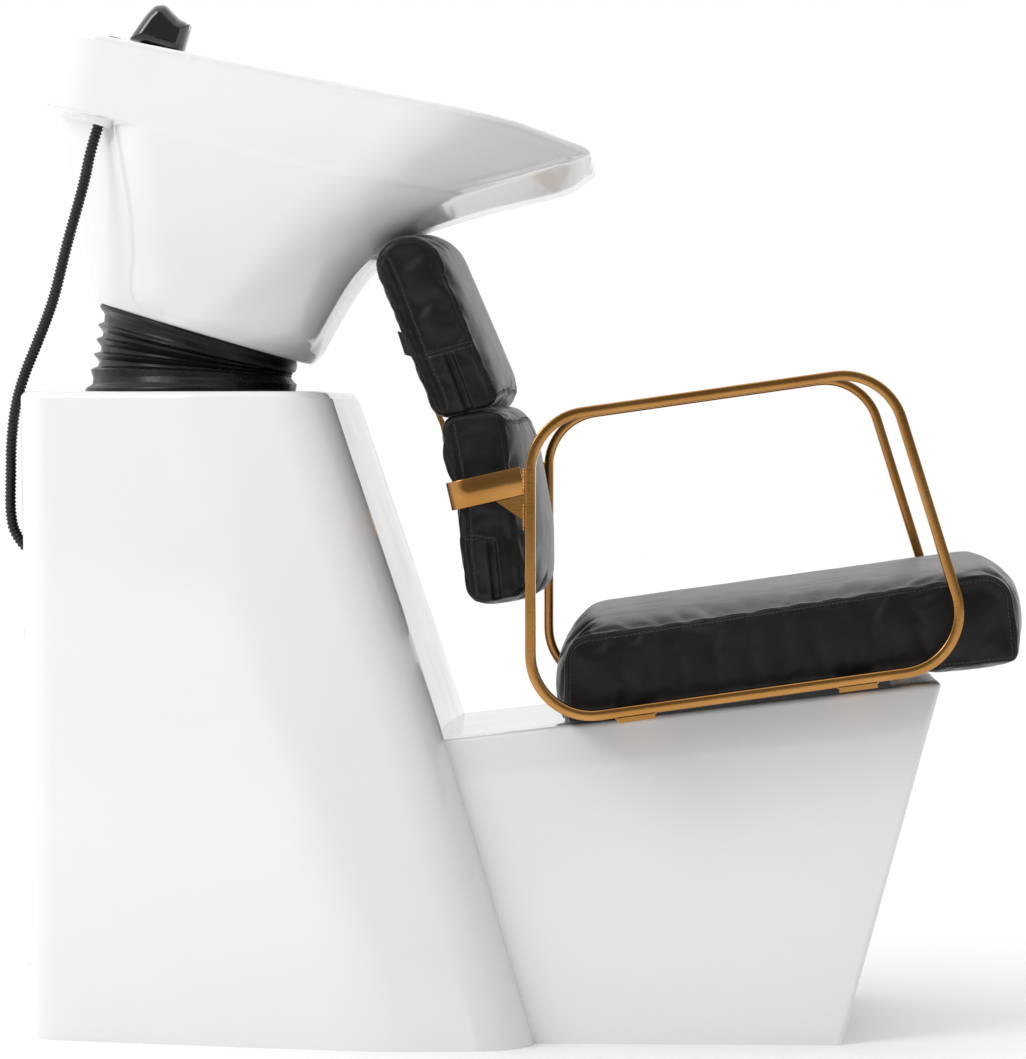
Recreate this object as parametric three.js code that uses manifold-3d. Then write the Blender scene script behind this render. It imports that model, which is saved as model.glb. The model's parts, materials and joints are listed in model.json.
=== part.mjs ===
// Shampoo backwash unit: a tilting ceramic basin on a moulded tower, with a seat in front of it.
// Millimetres. +X points to the client's feet, +Y to the client's left, +Z up.
// The origin is on the floor, under the middle of the unit.
import * as THREE from 'three';
import { mergeVertices } from 'three/addons/utils/BufferGeometryUtils.js';
import Module from 'manifold-3d';

const wasm = await Module();
wasm.setup();

// ---------------------------------------------------------------- driving dimensions
const GAP = 0.3;                    // left between pieces that touch

// moulded tower and pedestal
const TOWER_HEIGHT = 656;
const TOWER_REAR = -515;            // rear face at the top
const TOWER_REAR_FLOOR = -506;      // rear face at the floor
const TOWER_CORNER_R = 60;
const PEDESTAL_REAR_X = -79;        // where the pedestal's top meets the tower
const PEDESTAL_REAR_Z = 305.7;
const PEDESTAL_FRONT_X = 418;
const PEDESTAL_FRONT_Z = 364.9;
const PEDESTAL_TOE_X = 318;         // front edge on the floor
const PEDESTAL_HALF = 190;
const SHELL_WALL = 7;
const FLANGE_WIDTH = 38;
const FLANGE_HEIGHT = 8;
const SERVICE_HALF = 138;           // rear service opening
const PANEL_HALF = 148;
const SERVICE_LOW = 60;
const SERVICE_HIGH = 610;
const PANEL_HIGH = 430;             // top of the rear service panel
const TOP_PLATE = 8;                // steel plate under the tower's top

// basin tilt
const PIVOT_X = -357;
const PIVOT_Z = 690;
const TILT = THREE.MathUtils.degToRad(16.5);
const PIN_R = 5.9;
const PIN_HOLE_R = 6.3;
const TOWER_HOLE_R = 60;

// basin, in its own frame with the pivot as origin
const BASIN_LOW = 30;
const BASIN_FOOT_R = 118;
const BASIN_FOOT_X = 2.5;
const BASIN_WALL = 9;
const BOWL_FLOOR = 72;
const DECK_Z = 262;
const MIXER_X = -126;
const SHOWER_X = -139;
const SHOWER_Y = -176;
const DRAIN_R = 21;

// bellows
const BELLOWS_R = 107;
const BELLOWS_DEPTH = 5;
const BELLOWS_FOLDS = 6;
const BELLOWS_WALL = 3;
const BELLOWS_SIDES = 28;
const BELLOWS_FOOT_X = -359.7;
const BELLOWS_HEAD_X = -3.3;        // in the basin's frame

// seat frame: a flat bar bent into a loop at each side
const LOOP_Y = 270;
const LOOP_BAR = 10;
const LOOP_DEPTH = 20;
const LOOP_BEND_R = 60;
const LOOP_CORNERS = [[8, 327], [447, 389], [357, 677.4], [8, 627.7]];
const SEAT_SLOPE = Math.atan2(LOOP_CORNERS[1][1] - LOOP_CORNERS[0][1], LOOP_CORNERS[1][0] - LOOP_CORNERS[0][0]);
const CROSS_BAR = { width: 38, thick: 5, rearX: 112, frontX: 330 };
const SEAT_BOLT_Y = 120;
const BOLT_BORE_R = 4.4;

// cushions
const SEAT_HALF = 242;
const BACK_HALF = 205;
const BOARD = 9;

// hose
const HOSE_R = 6;
const HOSE_SIDES = 8;
const HOSE_STEPS = 72;

// ---------------------------------------------------------------- materials
const paint = (color, roughness, metalness = 0) =>
  new THREE.MeshStandardMaterial({ color, roughness, metalness });
const white = paint(0xf2f2f2, 0.12);
const ceramic = paint(0xf5f5f4, 0.06);
const leather = paint(0x1b1b1c, 0.5);
const gold = paint(0x9c6a2c, 0.3, 1);
const blackSteel = paint(0x151515, 0.45, 0.4);
const rubber = paint(0x232323, 0.55);
const steel = paint(0xb8babd, 0.3, 1);
const brass = paint(0xb08d4a, 0.35, 1);
const chrome = paint(0xd8dade, 0.08, 1);
const handle = paint(0x1d1d1f, 0.12, 0.3);
const plywood = paint(0xb58d5c, 0.8);
const plastic = paint(0x2a2a2c, 0.5);
const tagCloth = paint(0x101010, 0.8);

// ---------------------------------------------------------------- solids
function solid(geometry) {
  const plain = geometry.clone();
  plain.deleteAttribute('normal');
  plain.deleteAttribute('uv');
  const merged = mergeVertices(plain, 1e-4);
  return new wasm.Manifold(new wasm.Mesh({
    numProp: 3,
    vertProperties: new Float32Array(merged.attributes.position.array),
    triVerts: new Uint32Array(merged.index.array),
  }));
}

function geometryOf(body) {
  const mesh = body.getMesh();
  const geometry = new THREE.BufferGeometry();
  geometry.setAttribute('position', new THREE.BufferAttribute(mesh.vertProperties, 3));
  geometry.setIndex(new THREE.BufferAttribute(mesh.triVerts, 1));
  return geometry;
}

const joined = (...list) => geometryOf(list.map(solid).reduce((sum, item) => sum.add(item)));

const cut = (geometry, ...tools) =>
  geometryOf(tools.reduce((rest, tool) => rest.subtract(solid(tool)), solid(geometry)));

function signedVolume(points, faces) {
  let sum = 0;
  for (const [a, b, c] of faces) {
    sum += points[a].dot(new THREE.Vector3().crossVectors(points[b], points[c]));
  }
  return sum / 6;
}

function closedMesh(points, faces) {
  const outward = signedVolume(points, faces) > 0;
  const index = faces.flatMap(([a, b, c]) => (outward ? [a, b, c] : [a, c, b]));
  const geometry = new THREE.BufferGeometry().setFromPoints(points);
  geometry.setIndex(index);
  return geometry;
}

function bandFaces(base, next, count) {
  const faces = [];
  for (let i = 0; i < count; i++) {
    const j = (i + 1) % count;
    faces.push([base + i, base + j, next + j], [base + i, next + j, next + i]);
  }
  return faces;
}

// A closed solid through rings of equal point counts, with a fan over each end.
function loft(rings) {
  const count = rings[0].length;
  const points = rings.flat().map((p) => new THREE.Vector3(...p));
  const faces = [];
  for (let k = 0; k + 1 < rings.length; k++) {
    faces.push(...bandFaces(k * count, (k + 1) * count, count));
  }
  const ends = [[0, false], [(rings.length - 1) * count, true]];
  for (const [start, top] of ends) {
    const centre = new THREE.Vector3();
    for (let i = 0; i < count; i++) {
      centre.addScaledVector(points[start + i], 1 / count);
    }
    const hub = points.push(centre) - 1;
    for (let i = 0; i < count; i++) {
      const j = (i + 1) % count;
      faces.push(top ? [start + i, start + j, hub] : [start + j, start + i, hub]);
    }
  }
  return closedMesh(points, faces);
}

// A closed solid whose last ring joins its first one, such as a sleeve with a wall.
function ringLoft(rings) {
  const count = rings[0].length;
  const points = rings.flat().map((p) => new THREE.Vector3(...p));
  const faces = [];
  for (let k = 0; k < rings.length; k++) {
    faces.push(...bandFaces(k * count, ((k + 1) % rings.length) * count, count));
  }
  return closedMesh(points, faces);
}

// ---------------------------------------------------------------- outlines
// corners: [x, y, radius], counter-clockwise and convex.
function roundedOutline(corners, steps = 5) {
  const points = [];
  const count = corners.length;
  for (let i = 0; i < count; i++) {
    const here = new THREE.Vector2(corners[i][0], corners[i][1]);
    const before = new THREE.Vector2(...corners[(i + count - 1) % count].slice(0, 2));
    const after = new THREE.Vector2(...corners[(i + 1) % count].slice(0, 2));
    const back = before.sub(here);
    const ahead = after.sub(here);
    const room = 0.5 * Math.min(back.length(), ahead.length()) * 0.999;
    back.normalize();
    ahead.normalize();
    const half = 0.5 * Math.acos(THREE.MathUtils.clamp(back.dot(ahead), -1, 1));
    const reach = Math.min(corners[i][2] / Math.tan(half), room);
    const start = here.clone().addScaledVector(back, reach);
    const end = here.clone().addScaledVector(ahead, reach);
    const curve = new THREE.QuadraticBezierCurve(start, here, end);
    const radius = reach * Math.tan(half);
    const centre = here.clone().addScaledVector(back.clone().add(ahead).normalize(), radius / Math.sin(half));
    for (let k = 0; k <= steps; k++) {
      const guide = curve.getPoint(k / steps);
      const spoke = guide.sub(centre).setLength(radius);
      points.push(centre.clone().add(spoke));
    }
  }
  return points;
}

function insetCorners(corners, inset) {
  const count = corners.length;
  const lines = corners.map(([x, y], i) => {
    const [nx, ny] = corners[(i + 1) % count];
    const length = Math.hypot(nx - x, ny - y);
    const normal = [-(ny - y) / length, (nx - x) / length];
    return { normal, reach: normal[0] * x + normal[1] * y + inset };
  });
  return corners.map(([, , r], i) => {
    const a = lines[(i + count - 1) % count];
    const b = lines[i];
    const det = a.normal[0] * b.normal[1] - a.normal[1] * b.normal[0];
    const x = (a.reach * b.normal[1] - b.reach * a.normal[1]) / det;
    const y = (a.normal[0] * b.reach - b.normal[0] * a.reach) / det;
    return [x, y, Math.max(r - inset, 1)];
  });
}

// Corners given for y > 0, front to rear, and repeated for y < 0.
const mirrored = (corners) =>
  [...corners, ...corners.map(([x, y, r]) => [x, -y, r]).reverse()];

// Straight lines, or a smooth curve, through [t, value] pairs.
function along(table, t) {
  const last = table.length - 1;
  let i = 0;
  while (i < last - 1 && t > table[i + 1][0]) {
    i++;
  }
  const [t0, v0] = table[i];
  const [t1, v1] = table[i + 1];
  return v0 + ((t - t0) / (t1 - t0)) * (v1 - v0);
}

function smoothAlong(table, t) {
  const at = (i) => table[THREE.MathUtils.clamp(i, 0, table.length - 1)];
  let i = 0;
  while (i < table.length - 2 && t > table[i + 1][0]) {
    i++;
  }
  const slope = (k) => (at(k + 1)[1] - at(k - 1)[1]) / (at(k + 1)[0] - at(k - 1)[0]);
  const span = at(i + 1)[0] - at(i)[0];
  const u = (t - at(i)[0]) / span;
  const [a, b] = [at(i)[1], at(i + 1)[1]];
  const [ma, mb] = [slope(i) * span, slope(i + 1) * span];
  return a + ma * u + (3 * (b - a) - 2 * ma - mb) * u * u + (2 * (a - b) + ma + mb) * u ** 3;
}

// ---------------------------------------------------------------- plain shapes
// A disc or tube along z between two heights.
function disc(radius, low, high, x = 0, y = 0, sides = 32) {
  return new THREE.CylinderGeometry(radius, radius, high - low, sides)
    .rotateX(Math.PI / 2)
    .translate(x, y, (low + high) / 2);
}

// Turned about z: profile of [radius, z], closed on itself.
function turned(profile, x = 0, y = 0, sides = 32) {
  const points = [...profile, profile[0]].map(([r, z]) => new THREE.Vector2(r, z));
  return new THREE.LatheGeometry(points, sides).rotateX(Math.PI / 2).translate(x, y, 0);
}

// A bar along y.
function rod(radius, x, z, yLow, yHigh, sides = 24) {
  return new THREE.CylinderGeometry(radius, radius, yHigh - yLow, sides).translate(x, (yLow + yHigh) / 2, z);
}

function block(xLow, xHigh, yLow, yHigh, zLow, zHigh) {
  return new THREE.BoxGeometry(xHigh - xLow, yHigh - yLow, zHigh - zLow)
    .translate((xLow + xHigh) / 2, (yLow + yHigh) / 2, (zLow + zHigh) / 2);
}

// A side view in x and z, given as 2-D points, made solid between two y values.
function slab(points, yLow, yHigh, bevel = 0) {
  const shape = points instanceof THREE.Shape ? points : new THREE.Shape(points);
  const depth = yHigh - yLow - 2 * bevel;
  return new THREE.ExtrudeGeometry(shape, {
    depth, bevelEnabled: bevel > 0, bevelSize: bevel, bevelThickness: bevel, bevelOffset: -bevel, bevelSegments: 1,
  }).rotateX(Math.PI / 2).translate(0, yHigh - bevel, 0);
}

const polygon = (pairs) => pairs.map(([x, z]) => new THREE.Vector2(x, z));

// A strip of even thickness to the left of a run of [x, z] points.
function strip(run, thick) {
  const offset = run.map(([x, z], i) => {
    const [px, pz] = run[Math.max(i - 1, 0)];
    const [nx, nz] = run[Math.min(i + 1, run.length - 1)];
    const length = Math.hypot(nx - px, nz - pz);
    return [x - ((nz - pz) / length) * thick, z + ((nx - px) / length) * thick];
  });
  return polygon([...run, ...offset.reverse()]);
}

// ---------------------------------------------------------------- scene graph
const unit = new THREE.Group();
const basinFrame = new THREE.Group();
basinFrame.position.set(PIVOT_X, 0, PIVOT_Z);
basinFrame.rotation.y = TILT;
unit.add(basinFrame);

function place(parent, name, geometry, material) {
  const mesh = new THREE.Mesh(geometry, material);
  mesh.name = name;
  parent.add(mesh);
  return mesh;
}

// a point of the basin's frame, in the unit's frame
const toWorld = ([x, y, z]) =>
  [PIVOT_X + x * Math.cos(TILT) + z * Math.sin(TILT), y, PIVOT_Z - x * Math.sin(TILT) + z * Math.cos(TILT)];

const onBase = (name, geometry, material) => place(unit, name, geometry, material);
const onBasin = (name, geometry, material) => place(basinFrame, name, geometry, material);

// ---------------------------------------------------------------- tower and pedestal
const towerFront = (z) => smoothAlong([[0, 10], [299, -79.5], [TOWER_HEIGHT, -198.5]], z);
const towerRear = (z) => along([[0, TOWER_REAR_FLOOR], [TOWER_HEIGHT, TOWER_REAR]], z);
const pedestalTop = (x) =>
  along([[PEDESTAL_REAR_X, PEDESTAL_REAR_Z], [PEDESTAL_FRONT_X, PEDESTAL_FRONT_Z]], x);

function towerRing(z, inset, height = z) {
  const corners = mirrored([
    [towerFront(z), along([[0, 250], [300, 243], [TOWER_HEIGHT, 226]], z), TOWER_CORNER_R],
    [along([[0, -150], [TOWER_HEIGHT, -330]], z), along([[0, 262], [TOWER_HEIGHT, 222]], z), 300],
    [towerRear(z), 190, 40],
  ]);
  return roundedOutline(insetCorners(corners, inset), 4).map((p) => [p.x, p.y, height]);
}

function tower(inset, low, high, edge) {
  const rings = [towerRing(Math.max(low, 0), inset, low)];
  for (const z of [130, 260, 390, 520]) {
    rings.push(towerRing(z, inset));
  }
  rings.push(towerRing(high - edge, inset));
  rings.push(towerRing(high - edge * 0.3, inset + edge * 0.3));
  rings.push(towerRing(high, inset + edge));
  return loft(rings);
}

function pedestalRing(fraction, inset, drop) {
  const front = THREE.MathUtils.lerp(PEDESTAL_TOE_X, PEDESTAL_FRONT_X, fraction);
  const half = THREE.MathUtils.lerp(198, PEDESTAL_HALF, fraction);
  const corners = mirrored([[front, half, 9], [-160, half, 2]]);
  return roundedOutline(insetCorners(corners, inset), 3)
    .map((p) => [p.x, p.y, pedestalTop(p.x) * fraction - drop]);
}

function pedestal(inset, low, drop, edge) {
  return loft([
    pedestalRing(0, inset, low),
    pedestalRing(0.5, inset, drop / 2),
    pedestalRing(1 - 0.018, inset, drop),
    pedestalRing(1 - 0.004, inset + edge * 0.4, drop),
    pedestalRing(1, inset + edge, drop),
  ]);
}

function baseShell() {
  const outer = joined(tower(0, 0, TOWER_HEIGHT, 7), pedestal(0, 0, 0, 5));
  const hollow = solid(joined(
    tower(SHELL_WALL, FLANGE_HEIGHT, TOWER_HEIGHT - SHELL_WALL, 2),
    pedestal(SHELL_WALL, -FLANGE_HEIGHT, SHELL_WALL, 1),
  ));
  const flangeHole = solid(joined(
    loft([-1, FLANGE_HEIGHT + 1].map((z) => towerRing(0, FLANGE_WIDTH, z))),
    loft([-1, FLANGE_HEIGHT + 1].map((z) => pedestalRing(0, FLANGE_WIDTH, -z))),
  ));
  const aboveFlange = solid(block(-600, 600, -400, 400, FLANGE_HEIGHT, 700));
  const service = solid(block(-560, -480, -SERVICE_HALF, SERVICE_HALF, SERVICE_LOW, SERVICE_HIGH));
  const basinHole = solid(disc(TOWER_HOLE_R, 600, 700, PIVOT_X, 0, 28));
  return geometryOf(solid(outer)
    .subtract(hollow.intersect(aboveFlange))
    .subtract(flangeHole)
    .subtract(service)
    .subtract(basinHole)
    .subtract(shellBores()));
}

// the holes for the seat bolts, the tilt bracket's bolts, the panel screws and the floor anchors
function shellBores() {
  return solid(joined(
    ...boltPlaces().map((spot) => boltBore(5, spot)),
    ...bracketBores(PIVOT_X, 600, 700),
    ...panelScrewPlaces().map(([y, z]) => leanWithRear(panelBore(3.2, y, z))),
    ...anchorPlaces.map(([x, y]) => disc(5.5, -10, 30, x, y, 16)),
  ));
}

const anchorPlaces = [[-400, 182], [-400, -182], [240, 176], [240, -176]];
const panelScrewPlaces = () => [70, 410].flatMap((z) => [-143.5, 143.5].map((y) => [y, z]));

function panelBore(radius, y, z) {
  return new THREE.CylinderGeometry(radius, radius, 40, 16).rotateZ(Math.PI / 2).translate(0, y, z);
}

// the service panel lies against the inside of the rear wall
const rearLean = Math.atan2(TOWER_REAR_FLOOR - TOWER_REAR, TOWER_HEIGHT);
function leanWithRear(geometry) {
  return geometry.rotateY(-rearLean).translate(TOWER_REAR_FLOOR, 0, 0);
}

function servicePanel() {
  const inner = SHELL_WALL + GAP;
  const panel = block(inner, inner + 3, -PANEL_HALF, PANEL_HALF, 45, PANEL_HIGH);
  return leanWithRear(cut(panel, ...panelScrewPlaces().map(([y, z]) => panelBore(2.9, y, z))));
}

function panelScrew([y, z]) {
  const upright = screw(5, 2.5, 2.5, 0, -16);
  return leanWithRear(upright.rotateY(-Math.PI / 2).translate(-GAP, y, z));
}

function towerPlate() {
  const high = TOWER_HEIGHT - SHELL_WALL - GAP;
  const plate = block(PIVOT_X - 133, PIVOT_X + 97, -150, 150, high - TOP_PLATE, high);
  return cut(plate, disc(TOWER_HOLE_R, 600, 700, PIVOT_X, 0, 28), ...bracketBores(PIVOT_X, 600, 700));
}

// ---------------------------------------------------------------- fasteners
// A domed screw along z: head up from `seat`, shank down to `tip`.
function screw(headR, headHeight, shankR, seat, tip, x = 0, y = 0) {
  return turned([[0, tip], [shankR, tip], [shankR, seat], [headR, seat], [headR * 0.8, seat + headHeight],
    [0, seat + headHeight]], x, y, 12);
}

// A hexagon nut or bolt head along z.
const hexagon = (acrossFlats, low, high, x = 0, y = 0) =>
  disc(acrossFlats / Math.sqrt(3), low, high, x, y, 6);

// the tilt bracket's four bolts, measured from the tilt axis
const bracketBolts = [[-30, -64], [30, -64], [30, 64], [-30, 64]];
const bracketBores = (x0, low, high) => bracketBolts.map(([x, y]) => disc(BOLT_BORE_R, low, high, x0 + x, y, 12));

// ---------------------------------------------------------------- seat frame
const loopAt = (index) => LOOP_CORNERS[index];
const slopeZ = Math.tan(SEAT_SLOPE);
const loopFloor = (x) => loopAt(0)[1] + (x - loopAt(0)[0]) * slopeZ - LOOP_BAR / 2 / Math.cos(SEAT_SLOPE);

function loopOutline(offset) {
  const corners = LOOP_CORNERS.map(([x, z]) => [x, z, LOOP_BEND_R]);
  return roundedOutline(insetCorners(corners, offset), 7);
}

function armrestLoop(side) {
  const shape = new THREE.Shape(loopOutline(-LOOP_BAR / 2));
  shape.holes.push(new THREE.Path(loopOutline(LOOP_BAR / 2)));
  const y = side * LOOP_Y;
  return slab(shape, y - LOOP_DEPTH / 2, y + LOOP_DEPTH / 2, 1.5);
}

// Anything set on the seat's sloping plane: local x runs up the slope, local z is square to it.
function onSlope(geometry, x, z) {
  return geometry.rotateY(-SEAT_SLOPE).translate(x, 0, z);
}

const CROSS_HALF = LOOP_Y + LOOP_DEPTH / 2;
const crossBarTop = (x) => loopFloor(x) - GAP / Math.cos(SEAT_SLOPE);

function crossBar(x) {
  const bar = block(-CROSS_BAR.width / 2, CROSS_BAR.width / 2, -CROSS_HALF, CROSS_HALF, -CROSS_BAR.thick, 0);
  const holes = [-1, 1].map((side) => disc(BOLT_BORE_R, -20, 20, 0, side * SEAT_BOLT_Y, 16));
  return onSlope(cut(bar, ...holes), x, crossBarTop(x));
}

function seatMountWedge() {
  const low = (x) => pedestalTop(x) + GAP;
  const high = (x) => crossBarTop(x) - (CROSS_BAR.thick + GAP) / Math.cos(SEAT_SLOPE);
  const [rear, front] = [93, 366];
  const wedge = slab(polygon([[rear, low(rear)], [front, low(front)], [front, high(front)], [rear, high(rear)]]),
    -PEDESTAL_HALF + 1, PEDESTAL_HALF - 1);
  return cut(wedge, ...boltPlaces().map((place) => boltBore(5, place)));
}

function boltPlaces() {
  return [CROSS_BAR.rearX, CROSS_BAR.frontX].flatMap((x) => [-SEAT_BOLT_Y, SEAT_BOLT_Y].map((y) => ({ x, y })));
}

function boltBore(radius, { x, y }) {
  return onSlope(disc(radius, -60, 30, 0, y, 16), x, crossBarTop(x));
}

function seatFrameBolt({ x, y }) {
  return onSlope(screw(9, 4.5, 4, GAP, -52, 0, y), x, crossBarTop(x));
}

for (const [side, name] of [[1, 'left'], [-1, 'right']]) {
  onBase(`armrest_loop_${name}`, armrestLoop(side), gold);
}
onBase('cross_bar_rear', crossBar(CROSS_BAR.rearX), gold);
onBase('cross_bar_front', crossBar(CROSS_BAR.frontX), gold);
onBase('seat_mount_wedge', seatMountWedge(), blackSteel);
boltPlaces().forEach((spot, i) => onBase(`seat_bolt_${i + 1}`, seatFrameBolt(spot), steel));

// board under the pedestal's top, which takes the seat bolts
function pedestalBoard() {
  const high = (x) => pedestalTop(x) - SHELL_WALL - 1;
  const [rear, front] = [70, 380];
  const board = slab(polygon([[rear, high(rear) - 18], [front, high(front) - 18], [front, high(front)],
    [rear, high(rear)]]), -150, 150);
  return cut(board, ...boltPlaces().map((place) => boltBore(4.6, place)));
}
onBase('pedestal_board', pedestalBoard(), plywood);

function anchorBolt([x, y]) {
  return screw(11, 7, 5, FLANGE_HEIGHT + GAP, 0.3, x, y);
}

onBase('base_shell', baseShell(), white);
onBase('rear_service_panel', servicePanel(), white);
onBase('tower_top_plate', towerPlate(), steel);
anchorPlaces.forEach((spot, i) => onBase(`anchor_bolt_${i + 1}`, anchorBolt(spot), steel));
panelScrewPlaces().forEach((spot, i) => onBase(`panel_screw_${i + 1}`, panelScrew(spot), steel));

// ---------------------------------------------------------------- back frame
const BAND = { height: 28, thick: 5, bend: 20, tilt: THREE.MathUtils.degToRad(12.8), rearX: -73.5, z: 551 };
const BAND_Y = LOOP_Y;
const POST_X = LOOP_CORNERS[0][0] - LOOP_BAR / 2;

// The band is drawn flat in plan and then leaned with the backrest.
function leanBand(geometry) {
  return geometry.translate(-BAND.rearX, 0, 0).rotateY(-BAND.tilt).translate(BAND.rearX, 0, BAND.z);
}

const bandGroove = () => leanBand(block(-120, BAND.rearX + BAND.thick + 0.4, -300, 300, -20, 20));

function backBand() {
  const plan = (grow) => roundedOutline([
    [80, BAND_Y + 3 - grow, 1], [BAND.rearX + grow, BAND_Y + 3 - grow, BAND.bend - grow],
    [BAND.rearX + grow, -BAND_Y - 3 + grow, BAND.bend - grow], [80, -BAND_Y - 3 + grow, 1],
  ], 5);
  const prism = (grow, half) => loft([-half, half].map((z) => plan(grow).map((p) => [p.x, p.y, z])));
  const ahead = block(POST_X - GAP, 200, -400, 400, 400, 700);
  return cut(leanBand(cut(prism(0, BAND.height / 2), prism(BAND.thick, 40))), ahead);
}
onBase('back_band', backBand(), gold);

function gusset(side) {
  const y = side * BAND_Y;
  const halfHigh = BAND.height / 2 / Math.cos(BAND.tilt);
  const top = (x) => BAND.z + (x - BAND.rearX) * Math.tan(BAND.tilt) - halfHigh - GAP - 0.2;
  const [rear, front] = [POST_X - 29, POST_X - GAP];
  return slab(polygon([[rear, top(rear)], [front, top(front) - 26], [front, top(front)]]), y - 2.5, y + 2.5);
}
onBase('band_gusset_left', gusset(1), gold);
onBase('band_gusset_right', gusset(-1), gold);

// ---------------------------------------------------------------- cushions
// A padded block: a side outline carried across the width, crowned in the middle and eased at the ends.
function pad(corners, half, crown, ease, steps = 3) {
  const rings = [];
  const stations = [-1, -0.955, -0.75, -0.4, 0, 0.4, 0.75, 0.955, 1];
  for (const s of stations) {
    const swell = crown * (1 - Math.abs(s) ** 2.5);
    const draw = Math.abs(s) === 1 ? ease : 0;
    const outline = roundedOutline(insetCorners(corners, draw - swell), steps);
    rings.push(outline.map((p) => [p.x, s * half, p.y]));
  }
  return loft(rings);
}

const seatBottom = (x) => crossBarTop(x) + GAP + 0.4;
const SEAT_CORNERS = [
  [40, seatBottom(40) + 2, 16], [402, seatBottom(402) + 1, 60], [493, 388, 12], [477, 473, 24], [41, 407, 14],
];

function seatBoardAt(inset, thickness, clearance = 0) {
  return onSlope(block(-30 + inset, 330 - inset, -SEAT_HALF + 20 + inset, SEAT_HALF - 20 - inset,
    0.5 - clearance * 40, thickness + clearance), CROSS_BAR.rearX - 22, crossBarTop(CROSS_BAR.rearX - 22));
}

function seatBoard() {
  const pockets = boltPlaces().map((place) => boltBore(13, place));
  return cut(seatBoardAt(0, 12.5), ...pockets);
}
onBase('seat_board', seatBoard(), plywood);
const underSeat = () =>
  onSlope(block(-500, 600, -400, 400, -200, 0.5), CROSS_BAR.rearX, crossBarTop(CROSS_BAR.rearX));
const seatPad = pad(SEAT_CORNERS, SEAT_HALF, 13, 10);
onBase('seat_cushion', cut(seatPad, seatBoardAt(-GAP, 12.5, GAP), underSeat()), leather);

// The lower and upper back cushions, as side outlines.
const LOWER_CORNERS = [
  [-56, 450, 14], [12, 458, 12], [8, 540, 60], [-18, 640, 16], [-77, 617, 12], [-68, 556, 60],
];
const UPPER_CORNERS = [[-86, 634, 14], [-24, 641, 14], [-84, 810, 26], [-142, 796, 26]];

// A straight line in the side view: a point and its lean from the vertical.
const LOWER_BACK = { x: -66.5, z: 550, lean: 0.112 };
const UPPER_BACK = { x: -84, z: 625, lean: 0.4116 };
const backX = (line, z) => line.x - (z - line.z) * line.lean;

function backBoard(line, low, high, half, grow = 0) {
  const run = [[backX(line, low), low], [backX(line, high), high]];
  const board = strip([...run].reverse(), BOARD + grow);
  const behind = strip(run, grow * 40);
  const slabs = [slab(board, -half - grow, half + grow)];
  if (grow > 0) {
    slabs.push(slab(behind, -half - grow, half + grow));
  }
  return slabs.length > 1 ? joined(...slabs) : slabs[0];
}

const STRAP = { y: 150, half: 14, thick: 4 };
const onUpperBack = (z) => [backX(UPPER_BACK, z) - 0.4, z];
const strapRun = [[-71.4, BAND.z + 16], onUpperBack(622), onUpperBack(735)];

function strap(side, grow = 0) {
  const run = strapRun.map(([x, z]) => [x + grow, z]);
  const [middle, half] = [side * STRAP.y, STRAP.half + grow];
  return slab(strip(run, STRAP.thick + 2 * grow), middle - half, middle + half);
}

// the two back cushions press against each other along this sloping line
const MEET = [[-200, 605], [100, 665]];
const meetSide = (shift, far) =>
  slab(polygon([...MEET.map(([x, z]) => [x, z + shift]), [100, far], [-200, far]]), -300, 300);

onBase('lower_back_board', backBoard(LOWER_BACK, 468, 608, 170), plywood);
onBase('lower_back_cushion', cut(pad(LOWER_CORNERS, BACK_HALF, 5, 9), backBoard(LOWER_BACK, 467.6, 608.4, 170, 0.4),
  strap(1, 0.4), strap(-1, 0.4), bandGroove(), meetSide(-0.4, 800)), leather);
onBase('upper_back_board', backBoard(UPPER_BACK, 652, 778, 170), plywood);
onBase('upper_back_cushion', cut(pad(UPPER_CORNERS, BACK_HALF, 6, 9), backBoard(UPPER_BACK, 651.6, 778.4, 170, 0.4),
  strap(1, 0.4), strap(-1, 0.4), meetSide(0.4, 500)), leather);
onBase('back_strap_left', strap(1), gold);
onBase('back_strap_right', strap(-1), gold);

// ---------------------------------------------------------------- tilt bracket
const EAR = { y: 62, thick: 6, half: 15 };

function ear(low, y, thick) {
  const plate = joined(
    block(-EAR.half, EAR.half, y - thick / 2, y + thick / 2, Math.min(low, 0), Math.max(low, 0)),
    rod(EAR.half, 0, 0, y - thick / 2, y + thick / 2, 20),
  );
  return cut(plate, rod(PIN_HOLE_R, 0, 0, y - thick, y + thick, 16));
}

function tiltBracketLower() {
  const floor = TOWER_HEIGHT + GAP - PIVOT_Z;
  const parts = [cut(disc(86, floor, floor + 6, 0, 0, 36), disc(48, floor - 9, floor + 9, 0, 0, 28))];
  for (const side of [-1, 1]) {
    parts.push(ear(floor + 3, side * EAR.y, EAR.thick));
  }
  const drilled = cut(joined(...parts), ...bracketBores(0, -60, -20));
  return drilled.translate(PIVOT_X, 0, PIVOT_Z);
}
onBase('tilt_bracket_lower', tiltBracketLower(), blackSteel);

const UPPER_EAR_Y = EAR.y + EAR.thick + 1.5;
function tiltBracketUpper() {
  const [low, high] = [BASIN_LOW - 6.5, BASIN_LOW - GAP];
  const parts = [cut(disc(96, low, high, BASIN_FOOT_X, 0, 36), disc(38, 0, 60, BASIN_FOOT_X, 0, 28))];
  for (const side of [-1, 1]) {
    parts.push(ear(low + 3, side * UPPER_EAR_Y, EAR.thick));
  }
  return joined(...parts);
}
onBasin('tilt_bracket_upper', tiltBracketUpper(), blackSteel);

bracketBolts.forEach(([x, y], i) => onBase(`bracket_bolt_${i + 1}`,
  screw(7, 5, 4, TOWER_HEIGHT + GAP + 6 + GAP, TOWER_HEIGHT - 32, PIVOT_X + x, y), steel));

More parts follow.
